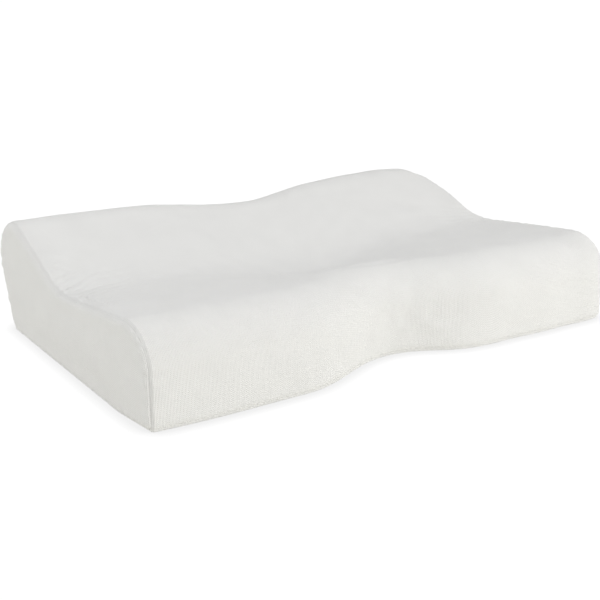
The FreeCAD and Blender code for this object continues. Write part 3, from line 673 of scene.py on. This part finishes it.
class Finish(Nodes):
    """A procedural material on a Principled shader."""

    def __init__(self, name, **sockets):
        self.material = bpy.data.materials.new(name)
        self.material.use_nodes = True
        super().__init__(self.material.node_tree)
        self.shader = self.tree.nodes["Principled BSDF"]
        for socket, value in sockets.items():
            self.shader.inputs[socket.replace("_", " ")].default_value = value

    def finish(self, colour, height=None, depth_mm=0.2, strength=1.0):
        """The material with its colour and, from a height of 0 to 1, its fine bumps."""
        self.tree.links.new(colour, self.shader.inputs["Base Color"])
        if height is not None:
            inputs = {"Height": height, "Strength": strength, "Distance": depth_mm * MM}
            self.tree.links.new(self.add("Bump", inputs), self.shader.inputs["Normal"])
        return self.material


def knit(name, yarn, groove, wale, course, depth_mm, **sockets):
    """Plain knit: columns of small V stitches, wale wide and course long, in millimetres, with painted
    shade in the grooves between them.
    """
    f = Finish(name, **sockets)
    place, along, across = f.fabric_axes()
    cell = f.calc("FRACT", f.calc("MULTIPLY", along, 1 / wale))
    leg = f.calc("MULTIPLY", f.calc("ABSOLUTE", f.calc("SUBTRACT", cell, 0.5)), 2.0)
    slant = f.calc("ADD", f.calc("MULTIPLY", across, 1 / course), f.calc("MULTIPLY", leg, 0.8))
    wave = f.calc("COSINE", f.calc("MULTIPLY", slant, 2 * math.pi))
    loop = f.calc("MULTIPLY_ADD", wave, 0.25, 0.75)
    column = f.calc("SINE", f.calc("MULTIPLY", leg, math.pi))
    fuzz = f.noise(place, 2.6)
    stitch = f.calc("MULTIPLY", f.calc("MULTIPLY_ADD", column, 0.6, 0.4), loop)
    height = f.calc("MULTIPLY_ADD", fuzz, 0.25, stitch)
    # painted shade: the groove colour darkens the low parts between the stitches
    colour = f.mix(stitch, groove, yarn)
    colour = f.tint(f.noise(place, 0.035), colour, 0.985, 1.01)
    colour = f.tint(f.noise(place, 0.9, 2.0), colour, 0.975, 1.01)
    return f.finish(colour, height, depth_mm)


def foam_finish():
    """Moulded foam: fine cells with a few larger pores in its skin, and painted shade in the cells' pits.
    """
    f = Finish("memory_foam", Roughness=0.9, Subsurface_Weight=0.15, Subsurface_Scale=0.004)
    place = f.solid_place()
    cells = f.add("TexVoronoi", {"Vector": place, "Scale": 520.0}, out="Distance")
    pores = f.add("TexVoronoi", {"Vector": place, "Scale": 140.0}, out="Distance")
    height = f.calc("ADD", f.calc("MULTIPLY", cells, 0.5), f.calc("MINIMUM", pores, 0.35))
    colour = f.mix(f.noise(place, 18.0), (0.87, 0.81, 0.62), (0.93, 0.88, 0.72))
    # painted shade: the colour is darkest in the cells' pits, where the bumps are lowest
    return f.finish(f.tint(cells, colour, 0.92, 1.0), height, 0.35)


def twill_finish():
    """Woven zip tape: a herringbone whose slant turns every few millimetres, with painted shade between
    its ribs.
    """
    f = Finish("zip_tape_twill", Roughness=0.75, Sheen_Weight=0.15, Sheen_Roughness=0.5)
    place, along, across = f.fabric_axes()
    turn = f.calc("PINGPONG", across, 2.2)
    slant = f.calc("MULTIPLY", f.calc("ADD", along, turn), 2 * math.pi / 0.8)
    rib = f.calc("MULTIPLY_ADD", f.calc("SINE", slant), 0.5, 0.5)
    weft = f.calc("MULTIPLY_ADD", f.calc("SINE", f.calc("MULTIPLY", across, 2 * math.pi / 0.45)), 0.2, 0.5)
    height = f.calc("ADD", rib, weft)
    # painted shade: the colour is darker in the low parts between the ribs
    colour = f.tint(f.noise(place, 0.3), f.mix(rib, (0.74, 0.74, 0.72), (0.86, 0.86, 0.845)), 0.97, 1)
    return f.finish(colour, height, 0.12)


def thread_finish(name, low, high):
    """Twisted sewing thread: fine slanting plies, with painted shade between them."""
    f = Finish(name, Roughness=0.55, Sheen_Weight=0.2, Sheen_Roughness=0.4)
    place, along, around = f.fabric_axes()
    ply = f.calc("SINE", f.calc("MULTIPLY", f.calc("ADD", along, around), 2 * math.pi / 0.5))
    height = f.calc("MULTIPLY_ADD", ply, 0.5, 0.5)
    # painted shade: low is the colour in the hollows between the plies, high on their tops
    colour = f.tint(f.noise(place, 0.8), f.mix(height, low, high), 0.96, 1.0)
    return f.finish(colour, height, 0.06)


def nylon_finish():
    """Smooth nylon of the zip's coil and stops."""
    f = Finish("zip_nylon", Roughness=0.32, IOR=1.53, Subsurface_Weight=0.1, Subsurface_Scale=0.001)
    place = f.solid_place()
    grain = f.noise(place, 900.0)
    colour = f.tint(grain, f.mix(f.noise(place, 60.0), (0.8, 0.8, 0.78), (0.87, 0.87, 0.86)), 0.97, 1.0)
    return f.finish(colour, grain, 0.03)


def metal_finish():
    """Nickel plate, brushed along the zip, with duller patches where fingers rub it."""
    f = Finish("zip_nickel", Metallic=1.0)
    place = f.solid_place()
    stretched = f.add("Mapping", {"Vector": place, "Scale": (150.0, 2600.0, 2600.0)})
    brushed = f.noise(stretched, 1.0, 4.0, 0.6)
    patches = f.noise(place, 260.0)
    rough = f.add("MapRange", {0: patches, 1: 0.3, 2: 0.7, 3: 0.22, 4: 0.38})
    f.tree.links.new(rough, f.shader.inputs["Roughness"])
    colour = f.tint(patches, f.mix(brushed, (0.66, 0.66, 0.65), (0.76, 0.76, 0.75)), 0.93, 1.0)
    return f.finish(colour, brushed, 0.02)


def satin_finish():
    """Woven satin ribbon with a fine rib along its weft."""
    f = Finish("label_satin", Roughness=0.38, Sheen_Weight=0.3, Sheen_Roughness=0.3, Anisotropic=0.4)
    place, along, across = f.fabric_axes()
    rib = f.calc("SINE", f.calc("MULTIPLY", across, 2 * math.pi / 0.4))
    warp = f.calc("SINE", f.calc("MULTIPLY", along, 2 * math.pi / 0.25))
    height = f.calc("MULTIPLY_ADD", rib, 0.4, f.calc("MULTIPLY", warp, 0.15))
    # painted shade: the colour is darker in the low parts of the rib
    colour = f.tint(f.noise(place, 0.6), f.mix(height, (0.84, 0.84, 0.83), (0.9, 0.9, 0.89)), 0.97, 1.0)
    return f.finish(colour, height, 0.05)


# each knit's second colour is painted shade for its stitch grooves
COVER_KNIT = knit("cover_knit", (0.92, 0.92, 0.908), (0.72, 0.72, 0.71), 2.5, 1.9, 0.55,
                  Roughness=0.86, Sheen_Weight=0.15, Sheen_Roughness=0.6)
LINER_KNIT = knit("liner_jersey", (0.9, 0.9, 0.9), (0.8, 0.8, 0.8), 1.3, 1.0, 0.1,
                  Roughness=0.8, Sheen_Weight=0.1, Sheen_Roughness=0.5)
FOAM_FINISH = foam_finish()
TWILL = twill_finish()
# the thread's first colour is painted shade between its plies
THREAD = thread_finish("sewing_thread", (0.78, 0.78, 0.765), (0.89, 0.89, 0.875))
NYLON = nylon_finish()
NICKEL = metal_finish()
SATIN = satin_finish()

# ---------------------------------------------------------------------- cover, liner and foam

CLOTH_MAP = rounded_cloth_coordinates()
CROWN = crown() + uneven_crest()
RELIEF = CROWN + fabric_relief()
SLEEVE = {"wrap", "bottom", "band", "mouth"}


def on_sole(points):
    """The points, with none below the plane that the pillow lies on."""
    points[:, 2] = np.maximum(points[:, 2], 0.0)
    return points


SLACK = slack(FORM)
OUTER_FACE = on_sole(settled(FORM + NORMALS * RELIEF[:, None] + SLACK))
INNER_FACE = settled(layer_points(CLOTH) + NORMALS * CROWN[:, None] + SLACK)


def make_cover():
    """The five sewn panels of the outer cover."""
    for panel, node in (("wrap", "cover_wrap_panel"), ("bottom", "cover_bottom_panel"),
                        ("band", "cover_rear_band"), ("left", "cover_left_end"),
                        ("right", "cover_right_end")):
        piece = layer_sheet(f"{panel}_fabric", {panel}, OUTER_FACE, INNER_FACE, COVER_KNIT)
        finish_piece(piece, node)


def make_liner():
    """The thin jersey bag round the foam: a sleeve and two ends."""
    lift = 0.9 * np.maximum(CROWN, -COVER_GAP / 2)[:, None] + 0.12 * wander(FORM, 22)[:, None]
    outer = layer_points(LINER, LINER + REAR_EASE) + NORMALS * lift
    inner = layer_points(LINER + JERSEY, LINER + JERSEY + REAR_EASE) + NORMALS * lift
    outer, inner = settled(outer), settled(inner)
    for name, panels, node in (("liner_sleeve_jersey", SLEEVE, "liner_sleeve"),
                               ("liner_left_jersey", {"left"}, "liner_left_end"),
                               ("liner_right_jersey", {"right"}, "liner_right_end")):
        piece = layer_sheet(name, panels, outer, inner, LINER_KNIT)
        finish_piece(piece, node)


def make_foam():
    """The moulded foam block, with the faint uneven skin that moulding leaves."""
    points = layer_points(FOAM, FOAM + REAR_EASE)
    lift = 0.8 * np.maximum(CROWN, -COVER_GAP / 2) + 0.1 * wander(FORM, 14) - 0.1
    points = settled(points + NORMALS * lift[:, None])
    piece = make_object("foam_block", points, FACES, FOAM_FINISH)
    finish_piece(piece, "foam_core")


# ---------------------------------------------------------------------- thread and tape

def tube(path, radius, sides):
    """Points, faces and thread coordinates of a round thread along path, closed at both ends."""
    path = np.asarray(path, float)
    ways = np.gradient(path, axis=0)
    ways /= np.linalg.norm(ways, axis=1)[:, None]
    side = np.cross(ways, OUT)
    side /= np.linalg.norm(side, axis=1)[:, None]
    other = np.cross(ways, side)
    turn = 2 * math.pi * np.arange(sides) / sides
    reach = np.broadcast_to(radius, len(path))[:, None, None]
    rings = path[:, None] + reach * (
        np.cos(turn)[None, :, None] * side[:, None] + np.sin(turn)[None, :, None] * other[:, None]
    )
    run = np.concatenate([[0], np.cumsum(np.linalg.norm(np.diff(path, axis=0), axis=1))])
    cloth = np.zeros((len(path), sides, 3))
    cloth[..., 0] = run[:, None]
    cloth[..., 1] = turn[None, :] * 0.25
    a = np.arange(len(path) - 1)[:, None] * sides + np.arange(sides)[None, :]
    b = np.arange(len(path) - 1)[:, None] * sides + (np.arange(sides)[None, :] + 1) % sides
    walls = np.stack([a, b, b + sides, a + sides], axis=2).reshape(-1, 4)
    faces = [tuple(f) for f in walls.tolist()]
    last = (len(path) - 1) * sides
    faces.append(tuple(range(sides))[::-1])
    faces.append(tuple(range(last, last + sides)))
    return rings.reshape(-1, 3), faces, cloth.reshape(-1, 3)


def join(parts):
    """Several (points, faces, cloth) as one."""
    points, faces, cloth, start = [], [], [], 0
    for p, f, c in parts:
        points.append(p)
        cloth.append(c)
        faces += [tuple(v + start for v in face) for face in f]
        start += len(p)
    return np.concatenate(points), faces, np.concatenate(cloth)


def ribbon(xs, outline):
    """A strip along X with a closed outline of (up, depth) points, and its cloth coordinates."""
    n, outline = len(outline), np.asarray(outline, float)
    points = np.concatenate([on_rear(x, outline[:, 0], outline[:, 1]) for x in xs])
    cloth = np.zeros((len(points), 3))
    cloth[:, 0] = points[:, 0]
    cloth[:, 1] = np.tile(outline[:, 0], len(xs))
    faces = []
    for i in range(len(xs) - 1):
        for j in range(n):
            k = (j + 1) % n
            faces.append((i * n + j, i * n + k, (i + 1) * n + k, (i + 1) * n + j))
    last = (len(xs) - 1) * n
    faces.append(tuple(range(n))[::-1])
    faces.append(tuple(range(last, last + n)))
    return points, faces, cloth


def outward(piece):
    """Turns every face of a closed piece outward."""
    bpy.context.view_layer.objects.active = piece
    mesh = bmesh.new()
    mesh.from_mesh(piece.data)
    bmesh.ops.recalc_face_normals(mesh, faces=mesh.faces)
    mesh.to_mesh(piece.data)
    mesh.free()
    return piece


def sewn_piece(name, part, material, node, sharp=50):
    """A piece made of (points, faces, cloth), in place of a CAD node."""
    points, faces, cloth = part
    piece = make_object(name, points, faces, material, sharp=sharp)
    put_cloth_map(piece, cloth)
    outward(piece)
    return finish_piece(piece, node)


SIDES = (("upper", 1), ("lower", -1))
# height of the tape's raised cords, and the length of its faces along the zip
TAPE_RIB, TAPE_PITCH = 0.12, 6.5


def make_tape(word, side):
    """A woven tape with a raised cord along its free edge and a rib beside the teeth."""
    near, far = CHAIN_GAP / 2, CHAIN_GAP / 2 + TAPE_WIDTH
    ups = [near, near + 0.2, 3.9, 4.1, 4.5, 4.7, far - 1.8, far - 1.3, far - 0.6, far - 0.1, far]
    rib = TAPE_RIB
    rises = [0.075, 0, 0, rib, rib, 0, 0, rib, rib, 0, 0.2]
    hollows = [0, 0, 0, rib / 2, rib / 2, 0, 0, rib / 2, rib / 2, 0, 0]
    face = [(side * up, TAPE_FACE + rib - rise) for up, rise in zip(ups, rises)]
    back = [(side * up, TAPE_FACE + TAPE_CLOTH + hollow) for up, hollow in zip(ups, hollows)]
    xs = np.linspace(-TAPE_HALF, TAPE_HALF, round(2 * TAPE_HALF / TAPE_PITCH))
    part = ribbon(xs, face + back[::-1])
    sewn_piece(f"tape_{word}_woven", part, TWILL, f"zip_tape_{word}", 35)


TOOTH_PITCH, WIRE, HEAD_REACH = 1.3, 0.3, 0.12
COIL_HALF_DEPTH, COIL_START, COIL_SWAY, CORD_R = 1.2, 0.5, 0.18, 0.45
PER_TURN = 14


def make_teeth(word, side):
    """One continuous coil: turns of nylon wire, each with a head that reaches over the gap."""
    turns = round(2 * ZIP_HALF / TOOTH_PITCH) - 1
    t = np.arange(turns * PER_TURN + 1) / PER_TURN
    angle = 2 * math.pi * t
    x = -ZIP_HALF + COIL_START + TOOTH_PITCH * (t + (0.5 if side > 0 else 0.0))
    x += COIL_SWAY * np.sin(2 * angle)
    half_up, half_deep = COIL_WIDTH / 2 - WIRE, COIL_HALF_DEPTH - WIRE
    middle = CHAIN_GAP / 2 + COIL_WIDTH / 2
    up = middle - half_up * np.cos(angle)
    up -= HEAD_REACH * np.maximum(np.cos(angle), 0) ** 6
    axis = COIL_TOP + COIL_HALF_DEPTH
    depth = axis + half_deep * np.sin(angle)
    radius = WIRE * (1 + 0.2 * np.maximum(np.cos(angle), 0) ** 4)
    wire = tube(on_rear(x, side * up, depth), radius, 6)
    cord = tube(on_rear(np.linspace(-ZIP_HALF + 1, ZIP_HALF - 1, 60), side * middle, axis), CORD_R, 6)
    sewn_piece(f"teeth_{word}_coil", join([wire, cord]), NYLON, f"zip_coil_{word}")


STITCH_PITCH, STITCH_LENGTH, THREAD_R = 3.1, 2.5, 0.22


def stitch(x, up, slant):
    """One machine stitch on the fabric: a short thread that dips into it at both ends."""
    t = np.linspace(-1, 1, 7)
    depth = -0.16 + 0.42 * t ** 4
    radius = THREAD_R * (1 - 0.35 * t ** 6)
    return tube(on_rear(x + STITCH_LENGTH / 2 * t, up + slant * t, depth), radius, 6)


def make_topstitch(word, side):
    """The row of stitches that holds the tape behind its lip of fabric."""
    count = round((2 * ZIP_HALF - STITCH_LENGTH) / STITCH_PITCH)
    xs = np.linspace(-ZIP_HALF + STITCH_LENGTH / 2, ZIP_HALF - STITCH_LENGTH / 2, count + 1)
    parts = [stitch(x, side * STITCH_UP, rng.uniform(0.03, 0.09)) for x in xs]
    sewn_piece(f"stitches_{word}_row", join(parts), THREAD, f"zip_topstitch_{word}")


OVERLOCK_DEPTH, OVERLOCK_HALF, OVERLOCK_WIDTH = CLOTH + 0.5, 0.25, 5.8
LOOP_PITCH, LOOP_R = 2.6, 0.14
HEM_LOWEST, FLOOR_HEM_LOWEST, FLOOR_HEM_STEPS = 10, 2.6, 90


def overlock(seam, hem):
    """A trimmed seam allowance from seam to hem, with the looping thread that binds its edge."""
    seam, hem = np.asarray(seam, float), np.asarray(hem, float)
    ways = np.gradient(seam, axis=0)
    normal = np.cross(ways, hem - seam)
    normal /= np.linalg.norm(normal, axis=1)[:, None]
    lift = OVERLOCK_HALF * normal * 0.6
    rings = np.stack([seam - lift, hem - lift, hem + lift, seam + lift], axis=1)
    n = len(seam)
    faces = [(4 * i + j, 4 * i + (j + 1) % 4, 4 * i + 4 + (j + 1) % 4, 4 * i + 4 + j)
             for i in range(n - 1) for j in range(4)]
    faces += [(0, 1, 2, 3), (4 * n - 1, 4 * n - 2, 4 * n - 3, 4 * n - 4)]
    run = np.concatenate([[0], np.cumsum(np.linalg.norm(np.diff(seam, axis=0), axis=1))])
    cloth = np.zeros((n, 4, 3))
    cloth[..., 0] = run[:, None]
    cloth[:, 1:3, 1] = OVERLOCK_WIDTH
    t = np.arange(0, run[-1], LOOP_PITCH / 4)
    share = np.array([0.15, 0.6, 1.0, 0.6])[np.arange(len(t)) % 4]
    side = np.array([1.0, 1.0, 0.0, -1.0])[np.arange(len(t)) % 4]

    def along(values):
        return np.column_stack([np.interp(t, run, values[:, k]) for k in range(3)])

    path = along(seam) + (along(hem) - along(seam)) * share[:, None]
    path += along(normal) * (side * OVERLOCK_HALF)[:, None]
    return join([(rings.reshape(-1, 3), faces, cloth.reshape(-1, 3)), tube(path, LOOP_R, 5)])


def end_seam_allowance(side):
    """The allowance inside an end seam, over the sleeve from above the toe to above the heel."""
    radius = END_R - OVERLOCK_DEPTH
    at_seam = profile_points(END_X, OVERLOCK_DEPTH + radius * (1 - math.cos(SEAM_TURN)))
    at_hem = profile_points(END_X, OVERLOCK_DEPTH)
    wanted = [j for j in range(HEEL_SEAM_AT, RING) if at_hem[j][1] > HEM_LOWEST]
    seam_x, hem_x = side * (END_X + radius * math.sin(SEAM_TURN) - 0.2), side * (END_X - 2.0)
    seam = np.array([(seam_x, *at_seam[j]) for j in wanted])
    hem = np.array([(hem_x, *at_hem[j]) for j in wanted])
    return overlock(settled(seam), settled(hem))


def floor_seam_allowance():
    """The allowances that stand up inside the front and rear faces from the two floor seams."""
    parts = []
    for first, step in ((0, -1), (HEEL_SEAM_AT, 1)):
        rows = []
        for x in np.linspace(-END_X + 0.5, END_X - 0.5, FLOOR_HEM_STEPS):
            ring = profile_points(x, OVERLOCK_DEPTH)
            walk = [ring[(first + step * k) % RING] for k in range(1, 9)]
            lows = np.array([p for p in walk if p[1] > FLOOR_HEM_LOWEST])
            run = np.concatenate([[0], np.cumsum(np.linalg.norm(np.diff(lows, axis=0), axis=1))])
            top = [np.interp(OVERLOCK_WIDTH, run, lows[:, k]) for k in (0, 1)]
            rows.append(((x, *lows[0]), (x, *top)))
        parts.append(overlock([r[0] for r in rows], [r[1] for r in rows]))
    return join(parts)


def make_label():
    """A soft ribbon folded in two, sewn in under the lower lip and hanging over the band."""
    thick, clear = 0.2, 0.1
    t = np.linspace(0, 1, 15)
    front = [(-LABEL_DROP * v, -0.55 - 0.9 * math.sin(math.pi * v) * v) for v in t]
    back = [(-LABEL_DROP * v, -clear - 0.35 * v * v) for v in t]
    bend = math.dist(front[-1], back[-1]) / 2
    middle = ((front[-1][0] + back[-1][0]) / 2, (front[-1][1] + back[-1][1]) / 2)
    turns = np.linspace(0, math.pi, 7)[1:-1]
    fold = [(middle[0] - bend * math.sin(a), middle[1] - bend * math.cos(a)) for a in turns]
    path = np.array(front + fold + back[::-1])
    ways = np.gradient(path, axis=0)
    ways /= np.linalg.norm(ways, axis=1)[:, None]
    inward = np.column_stack([-ways[:, 1], ways[:, 0]]) * thick
    inward *= np.sign((inward[3] @ [0, 1]) or 1)
    xs = np.linspace(LABEL_X - LABEL_WIDTH / 2, LABEL_X + LABEL_WIDTH / 2, 14)
    run = np.concatenate([[0], np.cumsum(np.linalg.norm(np.diff(path, axis=0), axis=1))])
    outline = np.concatenate([path, (path + inward)[::-1]])
    points, faces, cloth = ribbon(xs, outline)
    cloth[:, 1] = np.tile(np.concatenate([run, run[::-1]]), len(xs))
    share = (points[:, 0] - LABEL_X) / LABEL_WIDTH
    hang = np.clip(-((points - ZIP_LINE) @ UP) / LABEL_DROP, 0, 1)
    points += (0.5 * hang ** 2 * (0.5 + np.sin(5.5 * share + 0.8) / 2))[:, None] * OUT
    sewn_piece("care_ribbon", (points, faces, cloth), SATIN, "care_label", 60)


def dress_cad(node, material):
    """Gives a CAD node that stays its own material."""
    mesh = NODES[node].data
    mesh.materials.clear()
    mesh.materials.append(material)


make_cover()
make_liner()
make_foam()
for word, side in SIDES:
    make_tape(word, side)
    make_teeth(word, side)
    make_topstitch(word, side)
for name, side in (("left", -1), ("right", 1)):
    sewn_piece(f"{name}_seam_overlock", end_seam_allowance(side), THREAD,
               f"{name}_overlock_seam")
sewn_piece("bottom_seam_overlock", floor_seam_allowance(), THREAD, "bottom_overlock_seam")
make_label()
for node in ("zip_slider_body", "zip_pull_tab"):
    dress_cad(node, NICKEL)
for node in ("zip_top_stops", "zip_bottom_stop"):
    dress_cad(node, NYLON)

# ---------------------------------------------------------------------- stage, light and camera

FLOOR_SIZE = 24.0
SEEN, LIT = "the camera's rays", "all other rays"
FLOOR_COLOUR, FLOOR_GLOW = 0.62, 0.36
PAPER_IN_SHADE, PAPER = 0.84, 1.02
SHADE_REACH = 0.022
FLOOR_TINT = (1.0, 0.99, 0.93)
SKY = {SEEN: 1.02, LIT: 0.46}
SKY_RISE, SKY_RIGHT = 0.2, 0.05


def make_floor():
    """A pale floor. The camera sees it as even white paper, darker where the pillow is close."""
    n = 24
    steps = np.linspace(-FLOOR_SIZE / 2, FLOOR_SIZE / 2, n + 1)
    points = [(x, y, -0.0002) for y in steps for x in steps]
    faces = [(r * (n + 1) + c, r * (n + 1) + c + 1, (r + 1) * (n + 1) + c + 1, (r + 1) * (n + 1) + c)
             for r in range(n) for c in range(n)]
    mesh = bpy.data.meshes.new("floor")
    mesh.from_pydata(points, [], faces)
    f = Finish("floor_paper", Roughness=0.95)
    seen = f.add("LightPath", {}, out="Is Camera Ray")
    f.tree.links.new(f.mix(seen, FLOOR_TINT, (1, 1, 1)), f.shader.inputs["Emission Color"])
    open_sky = f.add("AmbientOcclusion", {"Distance": SHADE_REACH}, out="AO")
    paper = f.add("MapRange", {0: open_sky, 1: 0.5, 2: 0.95, 3: PAPER_IN_SHADE, 4: PAPER})
    glow = f.add("MapRange", {0: seen, 3: FLOOR_GLOW, 4: paper})
    f.tree.links.new(glow, f.shader.inputs["Emission Strength"])
    colour = f.mix(seen, [FLOOR_COLOUR * t for t in FLOOR_TINT], (0, 0, 0))
    mesh.materials.append(f.finish(f.tint(f.noise(f.solid_place(), 3.0), colour, 0.99, 1.0)))
    floor = bpy.data.objects.new("floor", mesh)
    scene.collection.objects.link(floor)


def make_sky():
    """White where it is looked at; as a light it is a dim dome, brighter overhead and on the right."""
    world = bpy.data.worlds.new("studio")
    scene.world = world
    world.use_nodes = True
    f = Nodes(world.node_tree)
    background = f.tree.nodes["Background"]
    split = f.add("SeparateXYZ", {0: f.add("TexCoord", {}, out="Generated")})
    rise = f.calc("MULTIPLY", f.calc("MAXIMUM", split.node.outputs[2], 0.0), SKY_RISE)
    side = f.calc("MULTIPLY_ADD", split.node.outputs[0], SKY_RIGHT, SKY[LIT])
    seen = f.add("LightPath", {}, out="Is Camera Ray")
    strength = f.add("MapRange", {0: seen, 3: f.calc("ADD", rise, side), 4: SKY[SEEN]})
    f.tree.links.new(strength, background.inputs["Strength"])
    background.inputs["Color"].default_value = (1, 1, 1, 1)


LAMP_DISTANCE = 2.2


def make_lamp(name, azimuth, elevation, share, size, colour=(1, 1, 1)):
    """A softbox aimed at the pillow; share is the brightness it gives a white face square to it."""
    a, e = math.radians(azimuth), math.radians(elevation)
    place = LAMP_DISTANCE * Vector((math.sin(a) * math.cos(e), -math.cos(a) * math.cos(e), math.sin(e)))
    data = bpy.data.lights.new(name, "AREA")
    data.energy = share * (math.pi * LAMP_DISTANCE) ** 2
    data.size = size
    data.color = colour
    lamp = bpy.data.objects.new(name, data)
    lamp.location = place
    aim = Vector((0, 0, 0.05)) - lamp.location
    lamp.rotation_euler = aim.to_track_quat("-Z", "Y").to_euler()
    scene.collection.objects.link(lamp)


def make_camera():
    """The photograph's viewing angle."""
    data = bpy.data.cameras.new("camera")
    data.lens, data.sensor_width = 60.81, 36.0
    data.clip_start, data.clip_end = 0.05, 60.0
    camera = bpy.data.objects.new("camera", data)
    camera.location = (-0.6013, -0.8756, 0.3655)
    camera.rotation_euler = (math.radians(72.0), 0.0, math.radians(-34.15))
    scene.collection.objects.link(camera)
    scene.camera = camera


make_floor()
make_sky()
make_lamp("key", azimuth=26, elevation=23, share=0.46, size=1.5, colour=(1.0, 0.99, 0.97))
make_lamp("fill", azimuth=-108, elevation=48, share=0.34, size=1.8)
make_camera()
scene.view_settings.view_transform = "Standard"
bpy.context.view_layer.update()
